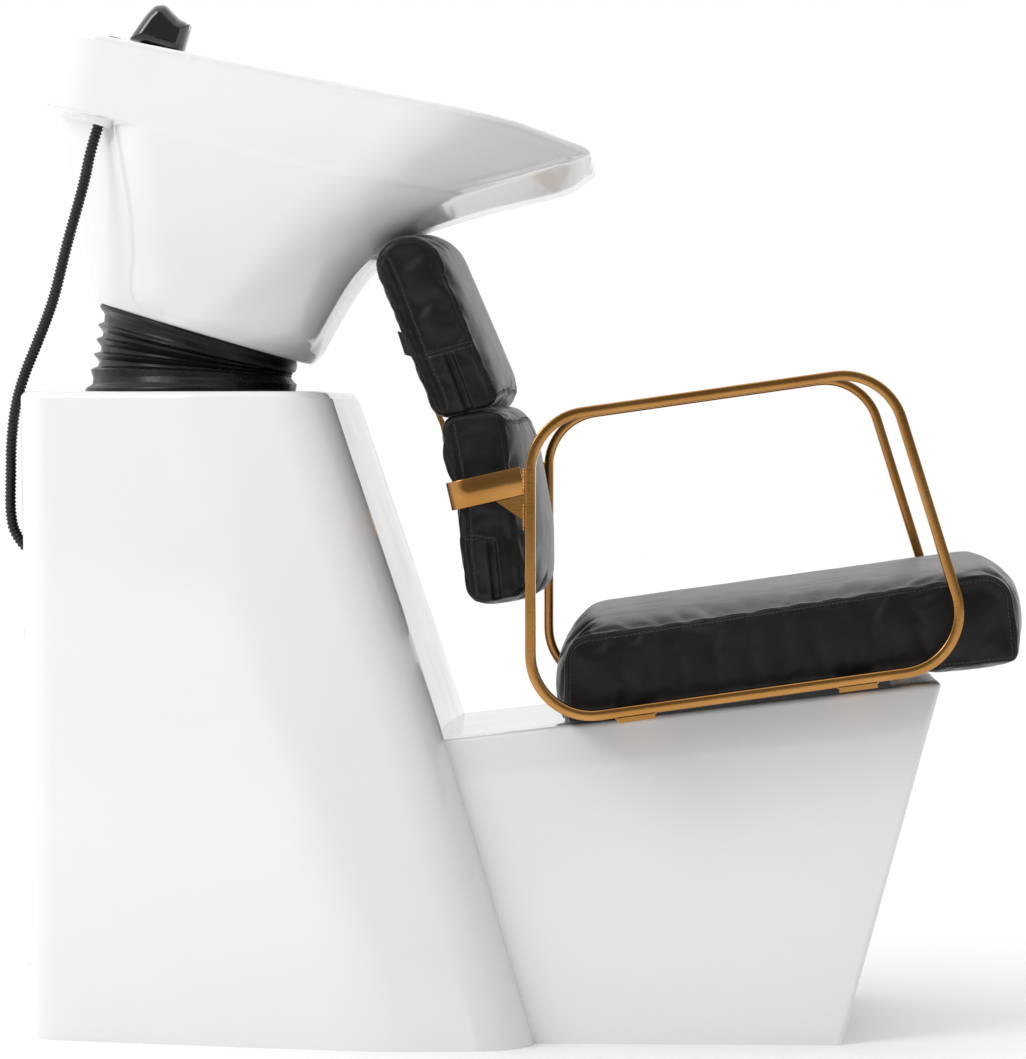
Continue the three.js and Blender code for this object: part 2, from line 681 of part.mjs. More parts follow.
// Shoulder pins on the tilt axis: the head outside, the tip inside the lower ear.
function pivotPin(side) {
  const [inner, outer] = [EAR.y - EAR.thick / 2 - 6, UPPER_EAR_Y + EAR.thick / 2 + GAP];
  const shank = rod(PIN_R, 0, 0, inner, outer + 1, 16);
  const head = rod(11, 0, 0, outer, outer + 7, 6);
  const pin = joined(shank, head);
  return (side > 0 ? pin : pin.rotateZ(Math.PI)).translate(PIVOT_X, 0, PIVOT_Z);
}

function frictionWasher(side) {
  const middle = (EAR.y + UPPER_EAR_Y) / 2;
  const half = (UPPER_EAR_Y - EAR.y - EAR.thick) / 2 - GAP;
  const ring = cut(rod(13, 0, 0, middle - half, middle + half, 20), rod(PIN_HOLE_R, 0, 0, 0, 200, 16));
  return (side > 0 ? ring : ring.rotateZ(Math.PI)).translate(PIVOT_X, 0, PIVOT_Z);
}

for (const [side, name] of [[1, 'left'], [-1, 'right']]) {
  onBase(`pivot_pin_${name}`, pivotPin(side), steel);
  onBase(`friction_washer_${name}`, frictionWasher(side), plastic);
}

// ---------------------------------------------------------------- basin
// Every section of the basin is a rounded ten-cornered outline. t runs from 0 at the foot to 1 at the rim.
const NECK = { depth: 20, half: 70, from: 235, to: 330 };
const rimLine = (x) => (x < 292 ? 289 + (x + 152) * 0.0878 : 328 - 4 * ((x - 292) / 51) ** 2);

function rimZ(x, y) {
  const share = THREE.MathUtils.smoothstep(x, NECK.from, NECK.to);
  return rimLine(x) - NECK.depth * share * Math.exp(-((y / NECK.half) ** 2));
}

const levelZ = (x, y, t) => BASIN_LOW + t * (rimZ(x, y) - BASIN_LOW);

const frontX = (t) =>
  smoothAlong([[0, 121], [0.2, 131], [0.4, 150], [0.6, 195], [0.8, 283], [0.93, 332], [1, 345]], t);
const halfWidth = (t) => smoothAlong([[0, 118], [0.2, 137], [0.4, 168], [0.6, 203], [0.8, 232], [1, 250]], t);
const spineX = (t) => -116 - 122 * t;
const LEDGE = [0.692, 0.7];          // between these the round body steps out to the square skirt

// the foot is a circle: five corners of a circumscribed decagon
const footCorner = (i) => {
  const angle = THREE.MathUtils.degToRad(18 + 36 * i);
  const reach = BASIN_FOOT_R / Math.cos(THREE.MathUtils.degToRad(18));
  return [BASIN_FOOT_X + reach * Math.cos(angle), reach * Math.sin(angle), BASIN_FOOT_R];
};

const blend = (a, b, u) => a.map((value, i) => THREE.MathUtils.lerp(value, b[i], u));

function bodyCorners(t) {
  const w = halfWidth(t);
  const ledgeW = halfWidth(LEDGE[0]);
  const top = [[233, 48, 110], [229, 150, 40], [140, ledgeW, 110], [-108, ledgeW, 40], [-198, 50, 60]];
  const foot = [0, 1, 2, 3, 4].map(footCorner);
  const corners = top.map((corner, i) => blend(foot[i], corner, t / LEDGE[0]));
  const shift = [[frontX(t) + 3, 0], [frontX(t), 0], [null, w], [null, w], [spineX(t), 0]];
  return corners.map(([x, y, r], i) => {
    const [fixedX, fixedY] = shift[i];
    return [t > 0 && fixedX !== null ? THREE.MathUtils.lerp(x, fixedX, Math.min(1, t * 10)) : x,
      fixedY ? THREE.MathUtils.lerp(y, fixedY, Math.min(1, t * 10)) : y, r];
  });
}

function skirtCorners(t) {
  const w = halfWidth(t);
  const low = [[frontX(t) + 3, 50, 110], [frontX(t), 152, 40], [150, w - 2, 110], [-192, w - 1, 50], [-206, 90, 150]];
  const rim = [[frontX(t) + 4, 50, 110], [frontX(t), 132, 30], [225, w, 140], [-198, w - 8, 50], [-211, 90, 150]];
  const u = (t - LEDGE[1]) / (1 - LEDGE[1]);
  return low.map((corner, i) => blend(corner, rim[i], u));
}

const basinCorners = (t) => mirrored(t <= LEDGE[0] + 1e-9 ? bodyCorners(t) : skirtCorners(t));

// Under the front, the middle hangs lower than the two edges.
const KEEL = { drop: 8, lift: 8, from: 150, to: 240, middle: 30, edge: 140 };

function outsideZ(x, y, t) {
  const share = THREE.MathUtils.smoothstep(x, KEEL.from, KEEL.to) * (1 - THREE.MathUtils.smoothstep(t, 0.88, 1));
  const edge = THREE.MathUtils.smoothstep(Math.abs(y), KEEL.middle, KEEL.edge);
  return levelZ(x, y, t) + share * (edge * (KEEL.drop + KEEL.lift) - KEEL.drop);
}

// The outline of level "shape", inset, at the height of level t.
function basinRing(t, inset = 0, drop = 0, shape = t) {
  return roundedOutline(insetCorners(basinCorners(shape), inset), 3)
    .map((p) => [p.x, p.y, outsideZ(p.x, p.y, t) - drop]);
}

function basinOuter() {
  const rings = [basinRing(0, 4), basinRing(0.012)];
  for (const t of [0.12, 0.24, 0.36, 0.48, 0.6, ...LEDGE, 0.8, 0.9]) {
    rings.push(basinRing(t));
  }
  rings.push(basinRing(1, 0, 7), basinRing(1, 2.5, 2), basinRing(1, 8), basinRing(1, 25));
  return loft(rings);
}

// The space between the bowl and the outer skin, open below.
function basinVoid() {
  const rings = [basinRing(0, 30, 20), basinRing(0.05, 30), basinRing(0.055, BASIN_WALL)];
  for (const t of [0.24, 0.42, 0.6]) {
    rings.push(basinRing(t, BASIN_WALL));
  }
  rings.push(basinRing(LEDGE[1] + 0.02, BASIN_WALL, 0, LEDGE[0]));
  for (const t of [LEDGE[1] + 0.06, 0.9]) {
    rings.push(basinRing(t, BASIN_WALL));
  }
  const region = block(-250, 80, -300, 300, -50, DECK_Z - 11);
  return solid(loft(rings)).intersect(solid(region)).subtract(solid(bowl(-BASIN_WALL)));
}

function bowlCorners(t) {
  const w = halfWidth(t);
  const front = frontX(t) - 28;
  return [
    [front, Math.min(w * 0.25, 50), 110],
    [front - 3, Math.min(w * 0.5, 118), 45],
    [Math.min(front * 0.68, 200), w - 22, w * 0.5],
    [-70, w - 22, Math.min(w * 0.45, 80)],
    [-84, 60, 90],
  ];
}

function bowlRing(t, inset, z = null) {
  return roundedOutline(insetCorners(mirrored(bowlCorners(t)), inset), 3)
    .map((p) => [p.x, p.y, z ?? levelZ(p.x, p.y, t)]);
}

// The bowl's cavity; a negative grow gives the outside of its wall.
function bowl(grow) {
  const floor = BOWL_FLOOR + Math.min(grow, 0);
  const rings = [
    bowlRing(0.17, 48 + grow, floor), bowlRing(0.2, 24 + grow, floor + 6), bowlRing(0.24, 9 + grow, floor + 22),
  ];
  for (const t of [0.36, 0.5, 0.64, 0.78, 0.9]) {
    rings.push(bowlRing(t, grow));
  }
  rings.push(bowlRing(1, grow - 3));
  rings.push(bowlRing(1, grow - 5, 400));
  return loft(rings);
}

function deckRecess() {
  const corners = mirrored([[-50, 205, 10], [-184, 205, 45]]);
  const ring = (inset, z) => roundedOutline(insetCorners(corners, inset), 4).map((p) => [p.x, p.y, z]);
  return loft([ring(7, DECK_Z), ring(2, DECK_Z + 2), ring(0, DECK_Z + 7), ring(-2, 400)]);
}

function basin() {
  const holes = [
    disc(DRAIN_R + 0.5, 0, 120, BASIN_FOOT_X, 0, 28),
    disc(8.5, 200, 300, MIXER_X, 0, 20),
    disc(15.5, 200, 300, SHOWER_X, SHOWER_Y, 24),
    disc(18, 180, 235, SHOWER_X, SHOWER_Y, 24),
  ];
  const shaped = solid(basinOuter())
    .subtract(basinVoid())
    .subtract(solid(bowl(0)))
    .subtract(solid(deckRecess()));
  return geometryOf(holes.reduce((rest, hole) => rest.subtract(solid(hole)), shaped));
}
onBasin('basin', basin(), ceramic);

// ---------------------------------------------------------------- waste
const atDrain = (profile, sides = 20) => turned(profile, BASIN_FOOT_X, 0, sides);
const WASTE_TIP = -45;

onBasin('waste_body', atDrain([
  [16, WASTE_TIP], [20, WASTE_TIP], [20, BOWL_FLOOR + GAP], [36, BOWL_FLOOR + GAP], [33, BOWL_FLOOR + 3],
  [26, BOWL_FLOOR + 3], [16, BOWL_FLOOR - 6],
]), chrome);
onBasin('waste_nut', cut(hexagon(52, BOWL_FLOOR - 22, BOWL_FLOOR - 13.4, BASIN_FOOT_X, 0),
  disc(20.4, 0, 100, BASIN_FOOT_X, 0, 28)), brass);

// the strainer stands in the waste body's mouth and lifts straight out
function strainer() {
  const cup = atDrain([
    [0, 52], [13, 52], [14.5, 58], [15.2, 74.5], [24, 75.6], [24, 77], [13.5, 77], [12.5, 60], [11.5, 54], [0, 54],
  ], 24);
  const slots = [0, 1, 2, 3, 4, 5].map((i) => {
    const angle = (i * Math.PI) / 3;
    return disc(2.6, 40, 60, BASIN_FOOT_X + 7.5 * Math.cos(angle), 7.5 * Math.sin(angle), 8);
  });
  return cut(cup, ...slots);
}
onBasin('strainer', strainer(), chrome);

// ---------------------------------------------------------------- mixer tap
const atMixer = (profile, sides = 28) => turned(profile, MIXER_X, 0, sides);
onBasin('mixer_body', atMixer([
  [0, 226], [8, 226], [8, DECK_Z + GAP], [27, DECK_Z + GAP], [27, DECK_Z + 5], [24, DECK_Z + 8], [24, 296], [0, 296],
]), handle);
onBasin('mixer_nut', cut(hexagon(24, DECK_Z - 20, DECK_Z - 11.5, MIXER_X, 0),
  disc(8.4, 200, 300, MIXER_X, 0, 20)), brass);
onBasin('mixer_collar', atMixer([[0, 296.5], [23.5, 296.5], [23.5, 301.5], [9, 302], [9, 308], [0, 308]]), chrome);

// The lever is a wedge with a blunt nose; its underside straddles the collar's cartridge.
const LEVER_CORNERS = [
  [-161, 303, 3], [-100.5, 303, 3], [-100.2, 337, 4], [-116, 339.5, 20], [-136, 352, 7], [-147, 344, 10],
];
const LEVER_HALF = 20;

function mixerLever() {
  const section = (y, inset) =>
    roundedOutline(insetCorners(LEVER_CORNERS, inset), 3).map((p) => [p.x, y, p.y]);
  const [edge, ease] = [LEVER_HALF - 4, LEVER_HALF - 1.2];
  const wedge = loft([
    section(-LEVER_HALF, 3), section(-ease, 1), section(-edge, 0), section(edge, 0), section(ease, 1),
    section(LEVER_HALF, 3),
  ]);
  return cut(wedge, disc(13, 290, 318, MIXER_X, 0, 20));
}
onBasin('mixer_lever', mixerLever(), handle);

// ---------------------------------------------------------------- hand shower
const atShower = (profile, sides = 24) => turned(profile, SHOWER_X, SHOWER_Y, sides);
const HOLDER_TIP = 203;
onBasin('shower_holder', atShower([
  [12, HOLDER_TIP], [15, HOLDER_TIP], [15, DECK_Z + GAP], [20, DECK_Z + GAP], [20, DECK_Z + 3], [12, DECK_Z + 3],
]), chrome);
onBasin('shower_holder_nut', cut(hexagon(38, DECK_Z - 20, DECK_Z - 11.5, SHOWER_X, SHOWER_Y),
  disc(15.4, 200, 300, SHOWER_X, SHOWER_Y, 24)), brass);
onBasin('hand_shower', atShower([
  [0, 240], [9.5, 240], [11, 244], [11, DECK_Z + 3 + GAP], [16, DECK_Z + 3 + GAP], [18.5, DECK_Z + 12],
  [19.5, 288], [17, 290.5], [0, 290.5],
]), handle);
onBasin('spray_face', atShower([[0, 290.8], [15.5, 290.8], [15.5, 292.5], [14, 293.5], [0, 293.5]]), plastic);
onBasin('hose_ferrule', atShower([
  [0, HOLDER_TIP + 1], [7.5, HOLDER_TIP + 1], [7.5, 236], [6, 239.7], [0, 239.7],
], 16), chrome);

// ---------------------------------------------------------------- bellows
// Sections fan out between the tower's flat top and the basin's tilted foot.
function bellows() {
  const [headX, , headZ] = toWorld([BELLOWS_HEAD_X, 0, BASIN_LOW - 2 * GAP]);
  const section = (u, radius) => {
    const angle = TILT * u;
    const x = THREE.MathUtils.lerp(BELLOWS_FOOT_X, headX, u);
    const z = THREE.MathUtils.lerp(TOWER_HEIGHT + GAP, headZ, u);
    const ring = [];
    for (let i = 0; i < BELLOWS_SIDES; i++) {
      const a = (Math.PI * 2 * i) / BELLOWS_SIDES;
      const reach = radius * Math.cos(a);
      ring.push([x + reach * Math.cos(angle), radius * Math.sin(a), z - reach * Math.sin(angle)]);
    }
    return ring;
  };
  const outer = [];
  const inner = [];
  const half = BELLOWS_FOLDS * 2;
  for (let k = 0; k <= half; k++) {
    const swing = k % 2 ? -BELLOWS_DEPTH / 2 : BELLOWS_DEPTH / 2;
    outer.push(section(k / half, BELLOWS_R + swing));
    inner.push(section(k / half, BELLOWS_R + swing - BELLOWS_WALL));
  }
  return ringLoft([...outer, ...inner.reverse()]);
}
onBase('bellows', bellows(), rubber);

// ---------------------------------------------------------------- hose
// From the holder's tip, down behind the tower, in at the service opening, and in a loop up to the union.
const HOSE_IN = { x: -487, z: 532, r: 48 };      // bend into the opening
const HOSE_Y = -100;
const HOSE_LOOP = { x: -387, r: 50, low: 205 };  // hanging loop inside the tower
const UNION_X = HOSE_LOOP.x + HOSE_LOOP.r;
const UNION_Z = 425;

function arc(x, z, r, from, to, count) {
  const points = [];
  for (let k = 0; k <= count; k++) {
    const angle = THREE.MathUtils.degToRad(THREE.MathUtils.lerp(from, to, k / count));
    points.push([x + r * Math.cos(angle), HOSE_Y, z + r * Math.sin(angle)]);
  }
  return points;
}

const HOSE_ROUTE = [
  toWorld([SHOWER_X, SHOWER_Y, HOLDER_TIP + 0.7]),
  toWorld([SHOWER_X, SHOWER_Y, 175]),
  [-449, -166, 867],
  [-468, -150, 808],
  [-486, -133, 749],
  [-504, -118, 707.5],
  [-518.8, -108, 675],
  [-528.3, -103, 646],
  [-533.8, -100, 610],
  [-535, HOSE_Y, 572],
  ...arc(HOSE_IN.x, HOSE_IN.z, HOSE_IN.r, 180, 270, 4),
  ...arc(HOSE_IN.x, HOSE_IN.z - HOSE_IN.r - HOSE_LOOP.r, HOSE_LOOP.r, 90, 0, 4).slice(1),
  [HOSE_LOOP.x - HOSE_LOOP.r, HOSE_Y, 350],
  [HOSE_LOOP.x - HOSE_LOOP.r, HOSE_Y, 270],
  ...arc(HOSE_LOOP.x, HOSE_LOOP.low, HOSE_LOOP.r, 180, 360, 6),
  [HOSE_LOOP.x + HOSE_LOOP.r, HOSE_Y, 300],
  [HOSE_LOOP.x + HOSE_LOOP.r, HOSE_Y, UNION_Z - GAP],
];

function showerHose() {
  const path = new THREE.CatmullRomCurve3(HOSE_ROUTE.map((p) => new THREE.Vector3(...p)), false, 'centripetal');
  const section = new THREE.Shape();
  for (let i = 0; i < HOSE_SIDES; i++) {
    const angle = (Math.PI * 2 * i) / HOSE_SIDES;
    section[i ? 'lineTo' : 'moveTo'](HOSE_R * Math.cos(angle), HOSE_R * Math.sin(angle));
  }
  return new THREE.ExtrudeGeometry(section, { steps: HOSE_STEPS, extrudePath: path });
}
onBase('shower_hose', showerHose(), rubber);

// the union that the hose ends in, hung from the tower's top plate
function hoseUnion() {
  const plate = TOWER_HEIGHT - SHELL_WALL - GAP - TOP_PLATE - GAP;
  const [near, far] = [HOSE_Y - 22, HOSE_Y - 18];
  const stem = turned([[0, UNION_Z], [9, UNION_Z], [9, UNION_Z + 14], [12, UNION_Z + 15], [12, UNION_Z + 27],
    [0, UNION_Z + 27]], UNION_X, HOSE_Y, 12);
  return joined(
    stem,
    block(UNION_X - 16, UNION_X + 16, near, HOSE_Y + 16, UNION_Z + 25, UNION_Z + 29),
    block(UNION_X - 16, UNION_X + 16, near, far, UNION_Z + 25, plate),
    block(UNION_X - 16, UNION_X + 16, near, far + 26, plate - 4, plate),
  );
}
onBase('hose_union', hoseUnion(), brass);

// ---------------------------------------------------------------- tag on the upper cushion
const TAG = { y: 196, low: 688, high: 713, reach: 12, lean: -0.35, clear: 1.6 };

function cushionTag() {
  const rearEdge = (z) => UPPER_CORNERS[0][0] + (z - UPPER_CORNERS[0][1]) * TAG.lean - TAG.clear;
  const outline = [[TAG.high, 0], [TAG.high + 4, TAG.reach], [TAG.low + 4, TAG.reach], [TAG.low, 0]]
    .map(([z, out]) => [rearEdge(z) - out, z]);
  return slab(polygon(outline), -TAG.y - 0.8, -TAG.y + 0.8);
}
onBase('cushion_tag', cushionTag(), tagCloth);

export default unit;
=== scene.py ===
import json
import math

import bmesh
import bpy
import numpy as np
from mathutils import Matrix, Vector, noise
from mathutils.bvhtree import BVHTree
from mathutils.kdtree import KDTree


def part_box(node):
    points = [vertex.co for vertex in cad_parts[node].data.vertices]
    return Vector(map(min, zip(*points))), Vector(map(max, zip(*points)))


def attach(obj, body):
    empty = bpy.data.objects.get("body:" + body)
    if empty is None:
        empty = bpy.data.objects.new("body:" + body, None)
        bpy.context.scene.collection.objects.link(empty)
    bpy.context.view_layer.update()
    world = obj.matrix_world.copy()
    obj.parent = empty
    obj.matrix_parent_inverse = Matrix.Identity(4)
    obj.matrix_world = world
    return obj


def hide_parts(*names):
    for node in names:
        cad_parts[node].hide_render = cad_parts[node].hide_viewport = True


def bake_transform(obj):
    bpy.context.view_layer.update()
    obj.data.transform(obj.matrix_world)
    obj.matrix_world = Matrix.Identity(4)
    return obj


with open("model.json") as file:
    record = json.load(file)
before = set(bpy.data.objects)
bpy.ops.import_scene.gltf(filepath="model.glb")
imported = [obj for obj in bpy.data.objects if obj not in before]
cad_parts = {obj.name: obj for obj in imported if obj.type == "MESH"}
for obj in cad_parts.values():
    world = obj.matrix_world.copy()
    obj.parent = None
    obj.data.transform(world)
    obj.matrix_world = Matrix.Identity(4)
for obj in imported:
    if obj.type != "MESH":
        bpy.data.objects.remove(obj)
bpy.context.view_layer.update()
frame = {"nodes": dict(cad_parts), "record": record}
MM = 0.001

# ---------------------------------------------------------------- dimensions shared with the CAD, in mm
PIVOT = (-357.0, 0.0, 690.0)
TILT = math.radians(16.5)
TOWER_HIGH = 656.0
MIXER_X = -126.0
SHOWER = (-139.0, -176.0)
DECK = 262.0
BASIN_LOW = 30.0
BOWL_FLOOR = 72.0
FOOT_X, FOOT_R = 2.5, 118.0
FOOT_STEP = 36
LOOP_CORNERS = [(8, 327), (447, 389), (357, 677.4), (8, 627.7)]
LOOP_Y = 270.0
SLOPE = math.atan2(62, 439)


def basin_to_row(points):
    """Points of the basin's frame, in mm, as row-frame mm."""
    p = np.atleast_2d(np.asarray(points, float))
    c, s = math.cos(TILT), math.sin(TILT)
    x = PIVOT[0] + p[:, 0] * c + p[:, 2] * s
    z = PIVOT[2] - p[:, 0] * s + p[:, 2] * c
    return np.stack([x, p[:, 1], z], 1)


def placed(name, data):
    """A new object in the scene."""
    obj = bpy.data.objects.new(name, data)
    bpy.context.scene.collection.objects.link(obj)
    return obj


# ---------------------------------------------------------------- camera
CAMERA_AT = (0.1637, -4.345, 0.629)
CAMERA_YAW, CAMERA_PITCH = math.radians(2.43), math.radians(1.54)


def make_camera():
    data = bpy.data.cameras.new("camera")
    data.lens = 140.7
    data.sensor_width = 36
    cam = placed("camera", data)
    cam.location = CAMERA_AT
    level = math.cos(CAMERA_PITCH)
    ahead = Vector((-math.sin(CAMERA_YAW) * level, math.cos(CAMERA_YAW) * level, -math.sin(CAMERA_PITCH)))
    cam.rotation_euler = ahead.to_track_quat("-Z", "Y").to_euler()
    bpy.context.scene.camera = cam


make_camera()


# ---------------------------------------------------------------- node materials
class Mat:
    """A Principled material with object-space noise helpers."""

    def __init__(self, name, color, rough, metal=0.0, **more):
        self.mat = bpy.data.materials.new(name)
        self.mat.use_nodes = True
        self.nodes, self.links = self.mat.node_tree.nodes, self.mat.node_tree.links
        self.bsdf = self.nodes["Principled BSDF"]
        for key, value in {"Base_Color": (*color, 1), "Roughness": rough, "Metallic": metal, **more}.items():
            self.bsdf.inputs[key.replace("_", " ")].default_value = value
        self.where = self.nodes.new("ShaderNodeTexCoord").outputs["Object"]
        self.last_normal = None

    def node(self, kind, inputs=None, **props):
        made = self.nodes.new("ShaderNode" + kind)
        for key, value in props.items():
            setattr(made, key, value)
        for key, value in (inputs or {}).items():
            if isinstance(value, bpy.types.NodeSocket):
                self.links.new(value, made.inputs[key])
            else:
                made.inputs[key].default_value = value
        return made

    def stretched(self, scale):
        return self.node("Mapping", {"Vector": self.where, "Scale": scale}).outputs["Vector"]

    def noise(self, scale, detail=3.0, rough=0.5, vector=None, distortion=0.0):
        made = self.node("TexNoise", {"Vector": vector or self.where, "Scale": scale, "Detail": detail,
                                      "Roughness": rough, "Distortion": distortion})
        return made.outputs["Fac"]

    def cells(self, scale, feature="F1"):
        return self.node("TexVoronoi", {"Vector": self.where, "Scale": scale}, feature=feature).outputs["Distance"]

    def ramp(self, fac, low, high, at=(0.35, 0.65)):
        """Maps a factor to a range of plain values."""
        made = self.node("MapRange", {"Value": fac, "From Min": at[0], "From Max": at[1],
                                      "To Min": low, "To Max": high})
        return made.outputs["Result"]

    def colors(self, fac, stops):
        made = self.node("ValToRGB", {"Fac": fac})
        ramp = made.color_ramp
        while len(ramp.elements) < len(stops):
            ramp.elements.new(0.5)
        for element, (at, color) in zip(ramp.elements, stops):
            element.position = at
            element.color = (*color, 1)
        self.links.new(made.outputs["Color"], self.bsdf.inputs["Base Color"])

    def rough(self, fac, low, high, at=(0.3, 0.7)):
        self.links.new(self.ramp(fac, low, high, at), self.bsdf.inputs["Roughness"])

    def bump(self, height, strength, distance):
        made = self.node("Bump", {"Height": height, "Strength": strength, "Distance": distance})
        if self.last_normal is not None:
            self.links.new(self.last_normal, made.inputs["Normal"])
        self.last_normal = made.outputs["Normal"]
        self.links.new(self.last_normal, self.bsdf.inputs["Normal"])


def mix_math(m, a, b, operation):
    return m.node("Math", {0: a, 1: b}, operation=operation).outputs["Value"]


# slot: name, base colour, roughness, metallic, other inputs, the colour's noise (scale, detail) and stops, the
# roughness's noise and range, and each bump's strength, distance and noise
PLAIN_MATERIALS = {
    "shell": ("gelcoat", (0.78, 0.78, 0.785), 0.09, 0, {"Coat_Weight": 0.6, "Coat_Roughness": 0.04, "IOR": 1.5},
              (3, 4), [(0.3, (0.765, 0.765, 0.77)), (0.7, (0.8, 0.8, 0.805))], (9, 5), (0.06, 0.17),
              [(0.35, 0.004, 5.5, 1, 0.4), (0.05, 0.0004, 420, 2)]),
    "ceramic": ("glazed_ceramic", (0.77, 0.77, 0.767), 0.12, 0,
                {"Coat_Weight": 0.5, "Coat_Roughness": 0.06, "IOR": 1.52},
                (6, 5), [(0.25, (0.755, 0.757, 0.755)), (0.75, (0.79, 0.79, 0.786))], (14, 4), (0.1, 0.18),
                [(0.2, 0.002, 5, 1, 0.4), (0.06, 0.0003, 160, 3)]),
    "black_steel": ("powder_black", (0.012, 0.012, 0.012), 0.45, 0, {},
                    (60, 4), [(0.3, (0.009, 0.009, 0.009)), (0.7, (0.02, 0.02, 0.02))], (90, 3), (0.38, 0.55),
                    [(0.3, 0.0002, 1300, 2)]),
    "zinc_steel": ("bright_zinc", (0.56, 0.57, 0.58), 0.3, 1, {},
                   (70, 5), [(0.3, (0.47, 0.48, 0.5)), (0.7, (0.64, 0.645, 0.65))], (160, 3), (0.22, 0.42),
                   [(0.12, 0.0002, 600, 3)]),
    "black_rubber": ("bellows_rubber", (0.005, 0.005, 0.0053), 0.3, 0, {"Specular_IOR_Level": 0.3},
                     (35, 5), [(0.25, (0.003, 0.003, 0.003)), (0.6, (0.006, 0.006, 0.0063)),
                               (0.8, (0.011, 0.011, 0.0117))], (60, 4), (0.22, 0.42),
                     [(0.3, 0.0025, 28, 3), (0.12, 0.0002, 700, 2)]),
    "chrome": ("polished_chrome", (0.78, 0.79, 0.81), 0.07, 1, {},
               (45, 4), [(0.3, (0.74, 0.75, 0.77)), (0.7, (0.81, 0.82, 0.83))], (120, 4), (0.04, 0.14),
               [(0.04, 0.0002, 220, 2)]),
    "black_handle": ("gloss_black", (0.006, 0.006, 0.0065), 0.1, 0, {"Coat_Weight": 0.9, "Coat_Roughness": 0.03},
                     (50, 4), [(0.3, (0.005, 0.005, 0.0053)), (0.7, (0.009, 0.009, 0.0095))], (90, 4),
                     (0.06, 0.16), [(0.06, 0.0006, 60, 2)]),
    "black_plastic": ("matt_plastic", (0.025, 0.025, 0.026), 0.5, 0, {},
                      (120, 4), [(0.3, (0.02, 0.02, 0.021)), (0.7, (0.035, 0.035, 0.036))], (200, 3),
                      (0.42, 0.6), [(0.2, 0.0002, 1500, 2)]),
}


def plain_material(name, color, rough, metal, more, tint, stops, gloss, span, bumps):
    m = Mat(name, color, rough, metal, **more)
    m.colors(m.noise(*tint), stops)
    m.rough(m.noise(*gloss), *span)
    for strength, distance, *grain in bumps:
        m.bump(m.noise(*grain), strength, distance)
    return m.mat


def make_materials():
    made = {slot: plain_material(*row) for slot, row in PLAIN_MATERIALS.items()}

    m = Mat("black_vinyl", (0.008, 0.008, 0.0085), 0.4, Specular_IOR_Level=0.24, Sheen_Weight=0.42,
            Sheen_Roughness=0.22)
    m.colors(m.noise(26.0, 5), [(0.3, (0.004, 0.004, 0.0043)), (0.7, (0.008, 0.008, 0.0085))])
    grain = m.cells(620.0, "DISTANCE_TO_EDGE")
    m.rough(mix_math(m, m.noise(40.0, 4), m.noise(900.0, 2), "ADD"), 0.28, 0.44, (0.7, 1.3))
    m.bump(m.noise(14.0, 3.0, 0.55), 0.14, 0.003)
    m.bump(m.ramp(grain, 0.0, 1.0, (0.0, 0.16)), 0.22, 0.0002)
    m.bump(m.noise(1500.0, 2.0), 0.1, 0.0001)
    made["upholstery"] = m.mat

    m = Mat("gold_bronze", (0.44, 0.22, 0.062), 0.2, 1.0)
    m.colors(m.noise(14.0, 4), [(0.3, (0.38, 0.18, 0.045)), (0.7, (0.49, 0.25, 0.08))])
    brushed = m.noise(1.0, 3.0, 0.6, m.stretched((45.0, 700.0, 700.0)))
    m.rough(brushed, 0.11, 0.2)
    m.bump(brushed, 0.04, 0.0002)
    m.bump(m.noise(22.0, 2.0), 0.05, 0.0015)
    made["gold_frame"] = m.mat

    m = Mat("hose_sleeve", (0.008, 0.008, 0.008), 0.36, Specular_IOR_Level=0.35)
    m.colors(m.noise(300.0, 3), [(0.3, (0.005, 0.005, 0.005)), (0.7, (0.014, 0.014, 0.014))])
    m.rough(m.noise(500.0, 3), 0.26, 0.46)
    m.bump(m.cells(1400.0), 0.4, 0.0003)
    made["hose_black"] = m.mat

    m = Mat("turned_brass", (0.60, 0.43, 0.18), 0.3, 1.0)
    m.colors(m.noise(80.0, 4), [(0.3, (0.52, 0.36, 0.14)), (0.7, (0.66, 0.49, 0.22))])
    m.rough(m.noise(1.0, 3, 0.5, m.stretched((200.0, 200.0, 2500.0))), 0.2, 0.45)
    m.bump(m.noise(500.0, 2.0), 0.1, 0.0002)
    made["brass"] = m.mat

    m = Mat("bare_plywood", (0.55, 0.37, 0.2), 0.7)
    grain = m.noise(1.0, 6.0, 0.6, m.stretched((12.0, 160.0, 160.0)), 1.5)
    m.colors(grain, [(0.3, (0.36, 0.22, 0.11)), (0.5, (0.55, 0.37, 0.20)), (0.75, (0.66, 0.47, 0.28))])
    m.rough(grain, 0.6, 0.85)
    m.bump(grain, 0.3, 0.0006)
    made["plywood"] = m.mat

    m = Mat("woven_tag", (0.008, 0.008, 0.008), 0.8, Sheen_Weight=0.2)
    weave = m.node("TexWave", {"Vector": m.stretched((1.0, 1.0, 1.0)), "Scale": 420.0}, bands_direction="Z")
    weave = weave.outputs["Fac"]
    m.colors(mix_math(m, weave, m.noise(900.0, 2), "MULTIPLY"),
             [(0.2, (0.006, 0.006, 0.006)), (0.7, (0.03, 0.03, 0.03))])
    m.rough(weave, 0.7, 0.9)
    m.bump(weave, 0.5, 0.0003)
    made["tag_cloth"] = m.mat

    m = Mat("black_thread", (0.02, 0.02, 0.02), 0.55)
    twist = m.noise(2600.0, 2)
    m.colors(twist, [(0.35, (0.012, 0.012, 0.012)), (0.65, (0.045, 0.045, 0.045))])
    m.rough(twist, 0.45, 0.7)
    m.bump(twist, 0.4, 0.0002)
    made["thread"] = m.mat
    return made


MATERIALS = make_materials()


